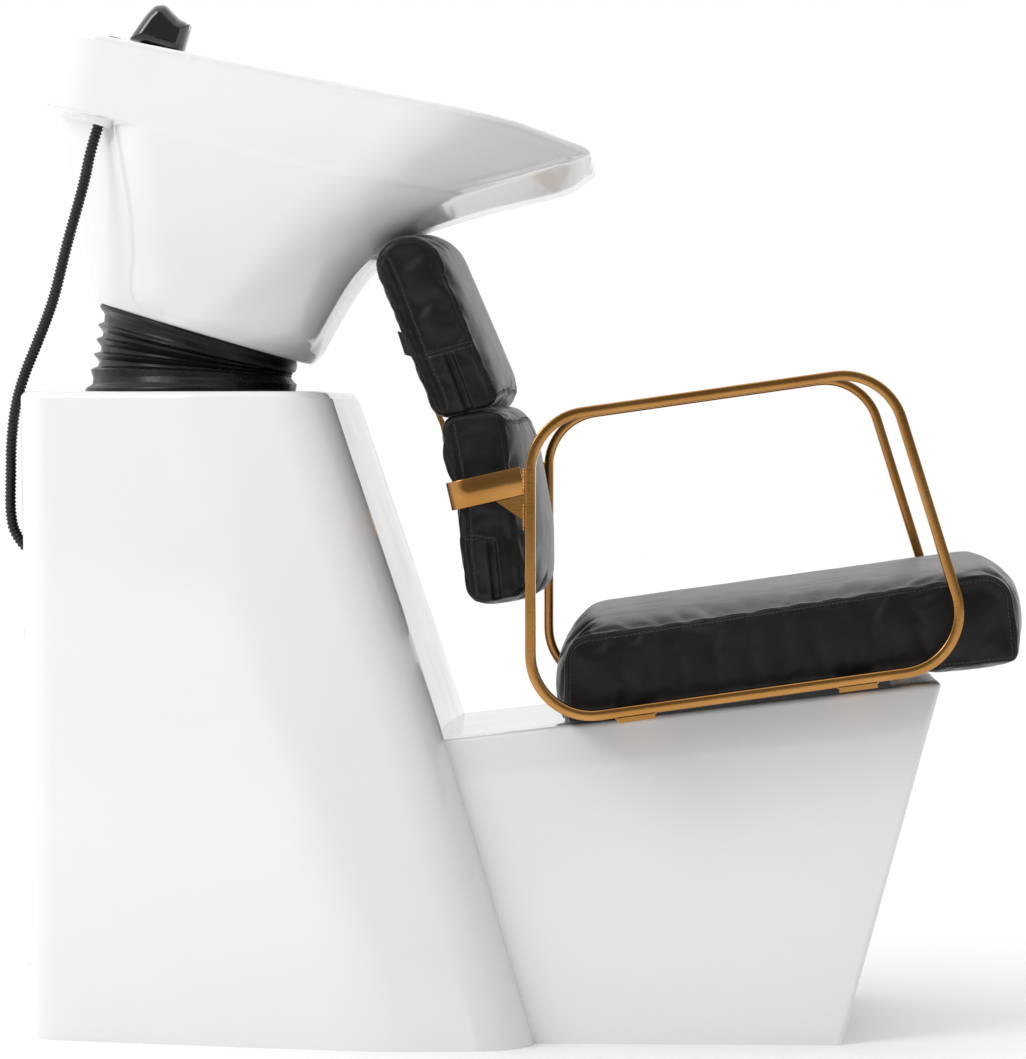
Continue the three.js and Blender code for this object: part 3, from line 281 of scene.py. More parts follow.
def dress_cad_nodes():
    slots = {s["node"]: s["material_slot"] for s in frame["record"]["subparts"]}
    for name, obj in frame["nodes"].items():
        obj.data.materials.clear()
        obj.data.materials.append(MATERIALS[slots[name]])


dress_cad_nodes()


# ---------------------------------------------------------------- mesh helpers, all in mm
def mesh_of(name, verts, faces):
    mesh = bpy.data.meshes.new(name)
    mesh.from_pydata([tuple(float(c) * MM for c in v) for v in verts], [], [tuple(f) for f in faces])
    return mesh


def piece(name, verts, faces, material, body, smooth_deg, slot=None):
    mesh = mesh_of(name, verts, faces)
    mesh.validate()
    return finish_piece(name, mesh, material, body, smooth_deg)


def finish_piece(name, mesh, material, body, smooth_deg):
    """Dresses the mesh and sets it on its body. The material fills the slot; a slot given to piece is not used."""
    face_outward(mesh)
    mesh.materials.append(MATERIALS[material])
    obj = placed(name, mesh)
    shade(mesh, smooth_deg)
    if body:
        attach(obj, body)
    return obj


def temp(name, part):
    """A working object, which stays out of the finished scene."""
    mesh = mesh_of(name, *part)
    face_outward(mesh)
    return placed(name, mesh)


def taken(obj):
    """The mesh of a working object, which is removed."""
    mesh = obj.data.copy()
    bpy.data.objects.remove(obj)
    return mesh


def coords(obj):
    """The mesh's points, in mm."""
    co = np.empty(len(obj.data.vertices) * 3, np.float32)
    obj.data.vertices.foreach_get("co", co)
    return co.reshape(-1, 3).astype(float) / MM


def set_coords(obj, co):
    obj.data.vertices.foreach_set("co", (co * MM).astype(np.float32).ravel())
    obj.data.update()


def vertex_normals(obj):
    n = np.empty(len(obj.data.vertices) * 3, np.float32)
    obj.data.vertex_normals.foreach_get("vector", n)
    return n.reshape(-1, 3).astype(float)


def modify(obj, kind, **settings):
    """Adds a modifier, for apply_modifiers to apply."""
    mod = obj.modifiers.new(kind.lower(), kind)
    for key, value in settings.items():
        setattr(mod, key, value)


def apply_modifiers(obj):
    bpy.context.view_layer.update()
    graph = bpy.context.evaluated_depsgraph_get()
    mesh = bpy.data.meshes.new_from_object(obj.evaluated_get(graph))
    obj.modifiers.clear()
    old = obj.data
    obj.data = mesh
    if old.users == 0:
        bpy.data.meshes.remove(old)


def edited(mesh, change):
    work = bmesh.new()
    work.from_mesh(mesh)
    change(work)
    work.to_mesh(mesh)
    work.free()


def face_outward(mesh):
    edited(mesh, lambda work: bmesh.ops.recalc_face_normals(work, faces=work.faces))


def shade(mesh, degrees):
    """Smooth shading with edges sharper than the angle kept crisp."""
    def change(work):
        for face in work.faces:
            face.smooth = True
        for edge in work.edges:
            if len(edge.link_faces) == 2:
                edge.smooth = edge.calc_face_angle(0) < math.radians(degrees)

    edited(mesh, change)


def rounded(corners, steps=10):
    """Corners (x, y, radius), round the outline, as points with true arcs."""
    pts = []
    n = len(corners)
    xy = [np.array(c[:2], float) for c in corners]
    for i in range(n):
        here, before, after = xy[i], xy[i - 1], xy[(i + 1) % n]
        back, ahead = before - here, after - here
        room = 0.4995 * min(np.linalg.norm(back), np.linalg.norm(ahead))
        back, ahead = back / np.linalg.norm(back), ahead / np.linalg.norm(ahead)
        half = 0.5 * math.acos(np.clip(back @ ahead, -1, 1))
        reach = min(corners[i][2] / math.tan(half), room)
        radius = reach * math.tan(half)
        mid = back + ahead
        centre = here + mid / np.linalg.norm(mid) * radius / math.sin(half)
        start, end = here + back * reach, here + ahead * reach
        for k in range(steps + 1):
            u = k / steps
            guide = (1 - u) ** 2 * start + 2 * u * (1 - u) * here + u * u * end - centre
            pts.append(centre + guide / np.linalg.norm(guide) * radius)
    return np.array(pts)


def inset(corners, by):
    n = len(corners)
    lines = []
    for i in range(n):
        (x, y), (nx, ny) = corners[i][:2], corners[(i + 1) % n][:2]
        length = math.hypot(nx - x, ny - y)
        normal = (-(ny - y) / length, (nx - x) / length)
        lines.append((*normal, normal[0] * x + normal[1] * y + by))
    made = []
    for i in range(n):
        a, b = lines[i - 1], lines[i]
        det = a[0] * b[1] - a[1] * b[0]
        x = (a[2] * b[1] - b[2] * a[1]) / det
        y = (a[0] * b[2] - b[0] * a[2]) / det
        made.append((x, y, max(corners[i][2] - by, 1)))
    return made


def mirrored(corners):
    return list(corners) + [(x, -y, r) for x, y, r in reversed(corners)]


def curve_value(table, t):
    """A smooth curve through (t, value) pairs, the same one as the CAD uses."""
    last = len(table) - 1
    i = 0
    while i < last - 1 and t > table[i + 1][0]:
        i += 1

    def slope(k):
        a, b = table[max(k - 1, 0)], table[min(k + 1, last)]
        return (b[1] - a[1]) / (b[0] - a[0])

    span = table[i + 1][0] - table[i][0]
    u = (t - table[i][0]) / span
    a, b = table[i][1], table[i + 1][1]
    ma, mb = slope(i) * span, slope(i + 1) * span
    return a + ma * u + (3 * (b - a) - 2 * ma - mb) * u * u + (2 * (a - b) + ma + mb) * u ** 3


def line_value(table, t):
    return float(np.interp(t, *zip(*table)))


def grid_faces(rows, cols, wrap_cols=True, wrap_rows=False):
    faces = []
    for r in range(rows if wrap_rows else rows - 1):
        for c in range(cols if wrap_cols else cols - 1):
            a, b = r * cols + c, r * cols + (c + 1) % cols
            up = (r + 1) % rows * cols
            faces.append((a, b, up + (c + 1) % cols, up + c))
    return faces


def loft(rings, caps=True, loop=False):
    """Vertices and faces through closed rings. Caps close each end with one face; a loop joins the ends."""
    cols = len(rings[0])
    verts = np.concatenate([np.asarray(r, float) for r in rings])
    faces = grid_faces(len(rings), cols, True, loop)
    if caps:
        faces.append(tuple(range(cols))[::-1])
        faces.append(tuple((len(rings) - 1) * cols + c for c in range(cols)))
    return verts, faces


def circle(centre, r, u, v, sides):
    """Points round a circle in the plane of u and v."""
    a = np.linspace(0, 2 * math.pi, sides, endpoint=False)[:, None]
    return centre + r * (np.cos(a) * u + np.sin(a) * v)


def lathe(profile, centre, sides):
    """Turned about z through (radius, z) points; a radius of 0 closes the end."""
    return loft([circle((*centre, float(z)), r, (1, 0, 0), (0, 1, 0), sides) for r, z in profile], caps=False)


def both_halves(rings):
    """Lofts rings that start at the middle, from the near side to the far side."""
    return loft([r * (1, -1, 1) for r in rings[:0:-1]] + rings)


def soften_profile(profile, radius):
    """Rounds the corners of an open profile."""
    out = [profile[0]]
    for i in range(1, len(profile) - 1):
        a, b, c = (np.array(p, float) for p in profile[i - 1:i + 2])
        la, lc = np.linalg.norm(a - b), np.linalg.norm(c - b)
        reach = min(radius, 0.45 * la, 0.45 * lc)
        p, q = b + (a - b) / la * reach, b + (c - b) / lc * reach
        for u in (0, 1 / 3, 2 / 3, 1):
            out.append(tuple((1 - u) ** 2 * p + 2 * u * (1 - u) * b + u * u * q))
    out.append(profile[-1])
    return out


def run_along(line):
    """The length travelled at each point of a polyline."""
    return np.concatenate([[0], np.cumsum(np.linalg.norm(np.diff(line, axis=0), axis=1))])


def sampled(line, run, count):
    at = np.linspace(0, run[-1], count)
    return np.stack([np.interp(at, run, line[:, k]) for k in range(3)], 1)


def centripetal(points, count):
    """A centripetal Catmull-Rom curve, sampled evenly along its length."""
    p = [np.array(q, float) for q in points]
    p = [2 * p[0] - p[1]] + p + [2 * p[-1] - p[-2]]
    fine = []
    for i in range(1, len(p) - 2):
        p0, p1, p2, p3 = p[i - 1:i + 3]
        d = [max(np.linalg.norm(b - a) ** 0.5, 1e-6) for a, b in ((p0, p1), (p1, p2), (p2, p3))]
        t1 = (p1 - p0) / d[0] - (p2 - p0) / (d[0] + d[1]) + (p2 - p1) / d[1]
        t2 = (p2 - p1) / d[1] - (p3 - p1) / (d[1] + d[2]) + (p3 - p2) / d[2]
        t1, t2 = t1 * d[1], t2 * d[1]
        for k in range(40):
            u = k / 40
            fine.append(p1 + t1 * u + (-3 * p1 + 3 * p2 - 2 * t1 - t2) * u * u + (2 * p1 - 2 * p2 + t1 + t2) * u ** 3)
    fine.append(p[-2])
    fine = np.array(fine)
    run = run_along(fine)
    return sampled(fine, run, count), run[-1]


def join_parts(parts):
    """Several (verts, faces) as one."""
    verts, faces, base = [], [], 0
    for v, f in parts:
        verts.append(np.asarray(v, float))
        faces += [tuple(i + base for i in face) for face in f]
        base += len(v)
    return np.concatenate(verts), faces


# ---------------------------------------------------------------- tower and pedestal moulding
SERVICE = {"half": 138.0, "low": 60.0, "high": 610.0}
WALL = 7.0
TOWER_EDGE = 7.0
TOWER_STEPS = 14
# the tower's outline against height
TOWER_FRONT = [(0, 10), (299, -79.5), (656, -198.5)]
TOWER_REAR = [(0, -506), (656, -515)]
TOWER_SIDE = [(0, 250), (300, 243), (656, 226)]
TOWER_SHOULDER = [(0, -150), (656, -330)], [(0, 262), (656, 222)]
PEDESTAL_HALF = (198.0, 190.0)
PEDESTAL_REAR = (-4.0, -92.0)
PEDESTAL_FRONT = (318, 418)


def tower_ring(z, by=0.0, height=None):
    """One level of the tower, with extra points along its flat rear wall."""
    corners = mirrored([
        (curve_value(TOWER_FRONT, z), line_value(TOWER_SIDE, z), 60),
        (*(line_value(table, z) for table in TOWER_SHOULDER), 300),
        (line_value(TOWER_REAR, z), 190, 40),
    ])
    pts = rounded(inset(corners, by), TOWER_STEPS)
    block = TOWER_STEPS + 1
    # the rear wall runs between the third and the fourth corner
    a, b = pts[3 * block - 1], pts[3 * block]
    jamb = SERVICE["half"] - by * 0.2
    marks = [jamb, 90, 45, 0, -45, -90, -jamb]
    rear = np.array([a + (b - a) * (a[1] - y) / (a[1] - b[1]) for y in marks])
    # and the front wall between the last corner and the first one
    c, d = pts[-1], pts[0]
    front = np.array([c + (d - c) * u for u in (0.25, 0.5, 0.75)])
    pts = np.concatenate([pts[:3 * block], rear, pts[3 * block:], front])
    return np.column_stack([pts, np.full(len(pts), z if height is None else height)])


def tower_skin():
    levels = [0, 3, 20] + list(np.linspace(60, 560, 17)) + [SERVICE["low"], SERVICE["high"], 585, 630, 644, 649]
    rings = [tower_ring(z) for z in sorted(set(levels))]
    for a in np.radians(np.linspace(0, 90, 6)[1:]):
        rings.append(tower_ring(656, TOWER_EDGE * (1 - math.cos(a)), TOWER_HIGH - TOWER_EDGE * (1 - math.sin(a))))
    rim = rings[-1]
    hole = rim[:, :2] - np.array(PIVOT[:2])
    hole = hole / np.linalg.norm(hole, axis=1)[:, None] * 60 + np.array(PIVOT[:2])
    for u in (0.1, 0.3, 0.6, 0.85, 1.0):
        flat = rim[:, :2] * (1 - u) + hole * u
        rings.append(np.column_stack([flat, np.full(len(flat), TOWER_HIGH)]))
    foot = [tower_ring(0, by) for by in (38, 20, 5)]
    verts, faces = loft(foot + rings, caps=False)

    def in_opening(face):
        centre = verts[list(face)].mean(0)
        return (centre[0] < -480 and abs(centre[1]) < SERVICE["half"] - 1
                and SERVICE["low"] < centre[2] < SERVICE["high"])

    return verts, [f for f in faces if not in_opening(f)]


def pedestal_skin():
    """A leaning box, open to the tower and to the floor, with eased edges."""
    mesh = bmesh.new()

    def corner(x, y, z):
        return mesh.verts.new((x, y, z))

    def top(x):
        return 305.7 + (x + 79) * 59.2 / 497

    v = {}
    for s in (-1, 1):
        v["rl", s] = corner(PEDESTAL_REAR[0], s * PEDESTAL_HALF[0], 0)
        v["fl", s] = corner(PEDESTAL_FRONT[0], s * PEDESTAL_HALF[0], 0)
        v["rh", s] = corner(PEDESTAL_REAR[1], s * PEDESTAL_HALF[1], top(PEDESTAL_REAR[1]))
        v["fh", s] = corner(PEDESTAL_FRONT[1], s * PEDESTAL_HALF[1], top(PEDESTAL_FRONT[1]))
    mesh.faces.new([v["rl", -1], v["fl", -1], v["fh", -1], v["rh", -1]])
    mesh.faces.new([v["rl", 1], v["rh", 1], v["fh", 1], v["fl", 1]])
    mesh.faces.new([v["fl", -1], v["fl", 1], v["fh", 1], v["fh", -1]])
    mesh.faces.new([v["rh", -1], v["fh", -1], v["fh", 1], v["rh", 1]])
    mesh.edges.ensure_lookup_table()
    eased = [e for e in mesh.edges if len(e.link_faces) == 2]
    bmesh.ops.bevel(mesh, geom=eased, offset=6, segments=5, profile=0.5, affect="EDGES", clamp_overlap=True)
    bmesh.ops.subdivide_edges(mesh, edges=[e for e in mesh.edges if e.calc_length() > 150], cuts=7,
                              use_grid_fill=True)
    mesh.verts.index_update()
    verts = np.array([tuple(p.co) for p in mesh.verts])
    faces = [[p.index for p in f.verts] for f in mesh.faces]
    mesh.free()
    return verts, faces


def orient(obj, toward_outside):
    """Flips the faces if most of them look away from the outside."""
    votes = sum(1 if p.normal.dot(Vector(toward_outside(p.center))) < 0 else -1 for p in obj.data.polygons)
    if votes > 0:
        obj.data.flip_normals()


def base_shell():
    for name, part, away in (
        ("tower_moulding", tower_skin(), lambda c: (c.x + 0.3, c.y, 0.3 if c.z > 0.6 else 0)),
        ("pedestal_moulding", pedestal_skin(), lambda c: (c.x - 0.1, c.y, c.z - 0.1)),
    ):
        obj = piece(name, *part, "shell", "base", 30)
        orient(obj, away)
        modify(obj, "SOLIDIFY", thickness=WALL * MM, offset=-1, use_even_offset=True)
        apply_modifiers(obj)
        shade(obj.data, 30)
        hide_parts("base_shell")


base_shell()


# ---------------------------------------------------------------- basin
def rim_line(x):
    return 289 + (x + 152) * 0.0878 if x < 292 else 328 - 4 * ((x - 292) / 51) ** 2


def smoothstep(x, low, high):
    t = min(max((x - low) / (high - low), 0.0), 1.0)
    return t * t * (3 - 2 * t)


def rim_z(x, y):
    return rim_line(x) - 20 * smoothstep(x, 235, 330) * math.exp(-(y / 70) ** 2)


def level_z(x, y, t):
    return BASIN_LOW + t * (rim_z(x, y) - BASIN_LOW)


# the front's x and the half width, against the share of the height from the foot to the rim
FRONT_X = [(0, 121), (0.2, 131), (0.4, 150), (0.6, 195), (0.8, 283), (0.93, 332), (1, 345)]
HALF_WIDTH = [(0, 118), (0.2, 137), (0.4, 168), (0.6, 203), (0.8, 232), (1, 250)]
LEDGE = (0.692, 0.70)
BASIN_WALL = 9.0
BASIN_STEPS = 12
# radius, low, high, x and y of the holes for the waste, the mixer, the shower holder and its bush
BORES = [(21.5, 0, 120, FOOT_X, 0), (8.5, 200, 300, MIXER_X, 0), (15.5, 200, 300, *SHOWER), (18, 180, 235, *SHOWER)]
BASIN_BODY_HIGH = 255.0
BASIN_VOXEL = 2.6
# the front's underside sinks at the middle and rises at the edge, between x start and x end
KEEL = {"drop": 8, "lift": 8, "start": 150, "end": 240, "middle": 30, "edge": 140}


def body_corners(t):
    ledge_w = curve_value(HALF_WIDTH, LEDGE[0])
    w, front = curve_value(HALF_WIDTH, t), curve_value(FRONT_X, t)
    top = [(233, 48, 110), (229, 150, 40), (140, ledge_w, 110), (-108, ledge_w, 40), (-198, 50, 60)]
    reach = FOOT_R / math.cos(math.radians(FOOT_STEP / 2))
    corners = []
    fixed = [(front + 3, None), (front, None), (None, w), (None, w), (-116 - 122 * t, None)]
    for i, corner in enumerate(top):
        a = math.radians(FOOT_STEP / 2 + FOOT_STEP * i)
        foot = (FOOT_X + reach * math.cos(a), reach * math.sin(a), FOOT_R)
        u = t / LEDGE[0]
        x, y, r = (p + (q - p) * u for p, q in zip(foot, corner))
        pull = min(1.0, t * 10)
        fx, fy = fixed[i]
        if t > 0 and fx is not None:
            x += (fx - x) * pull
        if fy:
            y += (fy - y) * pull
        corners.append((x, y, r))
    return corners


def skirt_corners(t):
    w, front = curve_value(HALF_WIDTH, t), curve_value(FRONT_X, t)
    low = [(front + 3, 50, 110), (front, 152, 40), (150, w - 2, 110), (-192, w - 1, 50), (-206, 90, 150)]
    rim = [(front + 4, 50, 110), (front, 132, 30), (225, w, 140), (-198, w - 8, 50), (-211, 90, 150)]
    u = (t - LEDGE[1]) / (1 - LEDGE[1])
    return [tuple(a + (b - a) * u for a, b in zip(p, q)) for p, q in zip(low, rim)]


def outside_z(x, y, t):
    share = smoothstep(x, KEEL["start"], KEEL["end"]) * (1 - smoothstep(t, 0.88, 1))
    edge = smoothstep(abs(y), KEEL["middle"], KEEL["edge"])
    return level_z(x, y, t) + share * (edge * (KEEL["drop"] + KEEL["lift"]) - KEEL["drop"])


def basin_ring(t, by=0.0, drop=0.0, shape=None):
    """The outline of level shape, inset, at the height of level t."""
    shape = t if shape is None else shape
    corners = mirrored(skirt_corners(shape) if shape > LEDGE[0] + 1e-9 else body_corners(shape))
    pts = rounded(inset(corners, by), BASIN_STEPS)
    return np.array([(x, y, outside_z(x, y, t) - drop) for x, y in pts])


def basin_outside():
    rings = [basin_ring(0, 1.5), basin_ring(0.008)]
    rings += [basin_ring(t) for t in np.linspace(0.05, LEDGE[0], 22)]
    rings += [basin_ring(t) for t in np.linspace(LEDGE[1], 0.97, 14)]
    rings += [basin_ring(1, 0, 6), basin_ring(1, 1, 3), basin_ring(1, 3, 1), basin_ring(1, 6)]
    return loft(rings)


def bowl_corners(t):
    w, front = curve_value(HALF_WIDTH, t), curve_value(FRONT_X, t) - 28
    return [(front, min(w * 0.25, 50), 110), (front - 3, min(w * 0.5, 118), 45),
            (min(front * 0.68, 200), w - 22, w * 0.5), (-70, w - 22, min(w * 0.45, 80)), (-84, 60, 90)]


def bowl_ring(t, by, z=None):
    pts = rounded(inset(mirrored(bowl_corners(t)), by), BASIN_STEPS)
    return np.array([(x, y, level_z(x, y, t) if z is None else z) for x, y in pts])


def bowl_space(grow=0.0):
    floor = BOWL_FLOOR + min(grow, 0)
    rings = [bowl_ring(0.17, 48 + grow, floor), bowl_ring(0.185, 34 + grow, floor + 1.5),
             bowl_ring(0.2, 24 + grow, floor + 6), bowl_ring(0.24, 9 + grow, floor + 22)]
    rings += [bowl_ring(t, grow) for t in np.linspace(0.34, 0.98, 18)]
    rings += [bowl_ring(1, grow - 3), bowl_ring(1, grow - 5, 400)]
    return loft(rings)


def deck_space():
    corners = mirrored([(-50, 205, 10), (-184, 205, 45)])

    def ring(by, z):
        return np.array([(x, y, z) for x, y in rounded(inset(corners, by), 14)])

    return loft([ring(7, DECK), ring(4, DECK + 0.6), ring(2, DECK + 2.4), ring(0, DECK + 8), ring(-2, 400)])


def under_space():
    """The hollow between the bowl and the skirt, open at the foot."""
    rings = [basin_ring(0, 30, 20), basin_ring(0.05, 30), basin_ring(0.055, BASIN_WALL)]
    rings += [basin_ring(t, BASIN_WALL) for t in np.linspace(0.1, 0.62, 12)]
    rings.append(basin_ring(LEDGE[1] + 0.02, BASIN_WALL, 0, LEDGE[0]))
    rings += [basin_ring(t, BASIN_WALL) for t in np.linspace(LEDGE[1] + 0.06, 0.9, 6)]
    return loft(rings)


def boolean(obj, other, operation):
    """Applies the operation and removes the other object."""
    modify(obj, "BOOLEAN", operation=operation, solver="EXACT", object=other)
    apply_modifiers(obj)
    bpy.data.objects.remove(other)


def tree_of(points):
    tree = KDTree(len(points))
    for i, p in enumerate(points):
        tree.insert(p, i)
    tree.balance()
    return tree


LIP_CREASE = [(332, 118, 314), (323.7, 135, 307), (300, 146, 291), (270, 157, 272), (240, 167, 253.5),
              (214.5, 175, 238.7), (190, 181, 226)]


def press_lip(obj):
    """Folds the front rim: a crease below the horn on each side, and a roll under it."""
    co, normals = coords(obj), vertex_normals(obj)
    for side in (-1, 1):
        line, _ = centripetal([(x, side * y, z) for x, y, z in LIP_CREASE], 400)
        tree = tree_of(line)
        for i in np.nonzero((co[:, 0] > 150) & (co[:, 1] * side > 40))[0]:
            near, index, gap = tree.find(co[i])
            along = index / (len(line) - 1)
            fade = smoothstep(along, 0.0, 0.12) * (1 - smoothstep(along, 0.5, 1.0))
            below = near[2] - co[i][2]
            roll = 1.5 * math.exp(-((gap - 7) / 4.0) ** 2) * (1 if below > 0 else 0.4)
            co[i] += normals[i] * fade * (roll - 3.4 * math.exp(-(gap / 2.9) ** 2))
    set_coords(obj, co)


def soften_body(obj):
    """Melts the body's corners into one round form, away from the foot, the ledge and the rim."""
    co = coords(obj)
    share = (co[:, 2] - BASIN_LOW) / BASIN_BODY_HIGH
    chosen = np.nonzero((share > 0.05) & (share < 0.6) & (co[:, 0] < 130))[0]
    group = obj.vertex_groups.new(name="body")
    for i in chosen:
        weight = min((share[i] - 0.05) / 0.1, (0.6 - share[i]) / 0.1, 1.0)
        group.add([int(i)], float(weight), "REPLACE")
    modify(obj, "SMOOTH", factor=0.5, iterations=40, vertex_group="body")
    apply_modifiers(obj)


def basin():
    solid = temp("basin_solid", basin_outside())
    hollow = temp("basin_hollow", under_space())
    region = temp("region", block_part((-250, -300, -50), (80, 300, DECK - 11)))
    boolean(hollow, region, "INTERSECT")
    boolean(hollow, temp("bowl_back", bowl_space(-9.0)), "DIFFERENCE")
    boolean(solid, hollow, "DIFFERENCE")
    boolean(solid, temp("bowl", bowl_space()), "DIFFERENCE")
    boolean(solid, temp("deck", deck_space()), "DIFFERENCE")
    for radius, low, high, x, y in BORES:
        plug = lathe([(0, low), (radius, low), (radius, high), (0, high)], (x, y), 40)
        boolean(solid, temp("bore", clean(plug)), "DIFFERENCE")
    # one even skin with melted edges, thinned again
    modify(solid, "REMESH", mode="VOXEL", voxel_size=BASIN_VOXEL * MM)
    modify(solid, "SMOOTH", factor=0.5, iterations=5)
    modify(solid, "DECIMATE", ratio=0.6)
    apply_modifiers(solid)
    soften_body(solid)
    press_lip(solid)
    set_coords(solid, basin_to_row(coords(solid)))
    obj = finish_piece("basin_casting", taken(solid), "ceramic", "basin_head", 80)
    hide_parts("basin")


def block_part(low, high):
    (a, b, c), (d, e, f) = low, high
    verts = [(a, b, c), (d, b, c), (d, e, c), (a, e, c), (a, b, f), (d, b, f), (d, e, f), (a, e, f)]
    faces = [(0, 3, 2, 1), (4, 5, 6, 7), (0, 1, 5, 4), (1, 2, 6, 5), (2, 3, 7, 6), (3, 0, 4, 7)]
    return np.array(verts, float), faces


def clean(part):
    """Merges the points that a turned profile gathers on its axis."""
    work = bmesh.new()
    made = [work.verts.new(tuple(v)) for v in part[0]]
    for face in part[1]:
        work.faces.new([made[i] for i in face])
    bmesh.ops.remove_doubles(work, verts=work.verts, dist=1e-4)
    work.verts.index_update()
    verts = np.array([tuple(v.co) for v in work.verts])
    faces = [tuple(v.index for v in f.verts) for f in work.faces]
    work.free()
    return verts, faces


basin()


# ---------------------------------------------------------------- bent flat bar
LOOP_BAR = (10, 20)
BAND_HALF = 270.5
BAND_LEAN = math.radians(12.8)
BAND_CORNER = (-73.5, 551)
CROSS_BARS_X = (112, 330)


def bar_section(thick, deep, ease=1.5, steps=3):
    """Points (across, along y) round a flat bar with eased edges."""
    return rounded([(thick / 2, -deep / 2, ease), (thick / 2, deep / 2, ease),
                    (-thick / 2, deep / 2, ease), (-thick / 2, -deep / 2, ease)], steps)


def sweep_flat(path, section, closed, to_space):
    """Carries a section along a plane path. to_space(u, v, w) places in-plane u, v and height w."""
    path = np.asarray(path, float)
    n = len(path)
    rings = []
    for i, p in enumerate(path):
        before = path[i - 1] if closed or i > 0 else p
        after = path[(i + 1) % n] if closed or i < n - 1 else p
        along = (after - before) / np.linalg.norm(after - before)
        side = np.array([-along[1], along[0]])
        rings.append([to_space(*(p + side * a), w) for a, w in section])
    return loft(rings, not closed, closed)


def dense(points, gap, closed=False):
    """The same line with no stretch longer than gap."""
    points = [np.array(p, float) for p in points]
    out = []
    for a, b in zip(points, points[1:] + ([points[0]] if closed else [])):
        count = max(1, int(math.ceil(np.linalg.norm(b - a) / gap)))
        out += [a + (b - a) * k / count for k in range(count)]
    if not closed:
        out.append(points[-1])
    return out


def armrest_loops():
    outline = rounded([(x, z, 60) for x, z in LOOP_CORNERS], 20)
    apart = [p for i, p in enumerate(outline) if i == 0 or np.linalg.norm(p - outline[i - 1]) > 0.01]
    path = dense(apart, 30, True)
    for side, name in ((1, "left"), (-1, "right")):
        part = sweep_flat(path, bar_section(*LOOP_BAR), True, lambda u, v, w, s=side: (u, s * LOOP_Y + w, v))
        obj = piece(f"loop_bar_{name}", *part, "gold_frame", "base", 35)
        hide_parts(f"armrest_loop_{name}")


def lean_band(x, y, z):
    """A point beside the band's rear corner, leant with the band."""
    dx = x - BAND_CORNER[0]
    return (BAND_CORNER[0] + dx * math.cos(BAND_LEAN) - z * math.sin(BAND_LEAN), y,
            BAND_CORNER[1] + dx * math.sin(BAND_LEAN) + z * math.cos(BAND_LEAN))


def band():
    corners = [(60, BAND_HALF, 1), (-71, BAND_HALF, 17.5), (-71, -BAND_HALF, 17.5), (60, -BAND_HALF, 1)]
    turn = [p for p in rounded(corners, 14) if p[0] < 0]
    path = dense([np.array([2.2, BAND_HALF])] + turn + [np.array([2.2, -BAND_HALF])], 25)
    verts, faces = sweep_flat(path, bar_section(5, 28, 0.9, 2), False, lean_band)
    # the ends lie against the posts
    verts[:, 0] = np.minimum(verts[:, 0], 2.6)
    obj = piece("band_bar", verts, faces, "gold_frame", "base", 35)
    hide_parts("back_band")


def weld_bead(start, end, radius, steps, seed):
    """A run of small overlapping drops between two points."""
    start, end = np.array(start, float), np.array(end, float)
    axis = (end - start) / np.linalg.norm(end - start)
    helper = np.array([0, 0, 1.0]) if abs(axis[2]) < 0.8 else np.array([1.0, 0, 0])
    u = np.cross(axis, helper)
    u /= np.linalg.norm(u)
    v = np.cross(axis, u)
    rings = []
    count = steps * 6
    for i in range(count + 1):
        t = i / count
        wave = abs(math.sin(math.pi * t * steps))
        swing = noise.noise(Vector((t * 9, seed, 0.3))) * 0.18
        fade = min(1.0, 8 * t, 8 * (1 - t)) ** 0.5 if 0 < t < 1 else 0.05
        r = radius * (0.72 + 0.34 * wave + swing) * fade
        rings.append(circle(start + (end - start) * t, r, u, v, 10))
    return loft(rings)


def welds():
    parts = []
    for s in (-1, 1):
        for dy in (-2.6, 2.6):
            y = s * (BAND_HALF + dy)
            low, high = lean_band(2.0, y, -13), lean_band(2.0, y, 13)
            parts.append(weld_bead((1.6, low[1], low[2]), (1.6, high[1], high[2]), 1.9, 8, s + dy))
            y = s * LOOP_Y + dy
            parts.append(weld_bead((1.6, y, 518), (1.6, y, 545), 1.5, 7, s * 3 + dy))
        for x in CROSS_BARS_X:
            z = 327 + (x - 8) * math.tan(SLOPE) - 5.2
            for dx in (-19, 19):
                dz = dx * math.tan(SLOPE)
                parts.append(weld_bead((x + dx, s * 261, z + dz), (x + dx, s * 279, z + dz), 1.6, 6, s + dx))
    piece("frame_welds", *join_parts(parts), "gold_frame", "base", 60)


def ease_edges(obj, width, segments, **limit):
    modify(obj, "BEVEL", width=width * MM, segments=segments, **limit)


def bevel_node(name, width):
    """Eases the edges of a plain CAD node."""
    obj = frame["nodes"][name]
    ease_edges(obj, width, 3, limit_method="ANGLE", angle_limit=math.radians(35))
    shade(obj.data, 35)


armrest_loops()
band()
welds()
for plain, width in (("cross_bar_rear", 0.8), ("cross_bar_front", 0.8), ("back_strap_left", 0.8),
                     ("back_strap_right", 0.8), ("seat_mount_wedge", 1.0), ("rear_service_panel", 0.8),
                     ("band_gusset_left", 0.5), ("band_gusset_right", 0.5), ("pedestal_board", 0.6),
                     ("seat_board", 0.6), ("lower_back_board", 0.6), ("upper_back_board", 0.6),
                     ("tower_top_plate", 0.5)):
    bevel_node(plain, width)


# ---------------------------------------------------------------- tap, hand shower and waste
BRACKET_TIP = 203.0


def turned_piece(name, node, profile, centre, material, body, ease=0.8):
    """A smooth turned part of the basin, in place of its CAD node."""
    verts, faces = clean(lathe(soften_profile(profile, ease), centre, 64))
    obj = piece(name, basin_to_row(verts), faces, material, body, 50)
    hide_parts(node)


def ringed(low, high, radius, pitch, deep):
    """Profile points of fine grip rings between two heights."""
    count = int((high - low) / pitch)
    return [(radius - (deep if i % 2 else 0), low + (high - low) * i / count) for i in range(count + 1)]


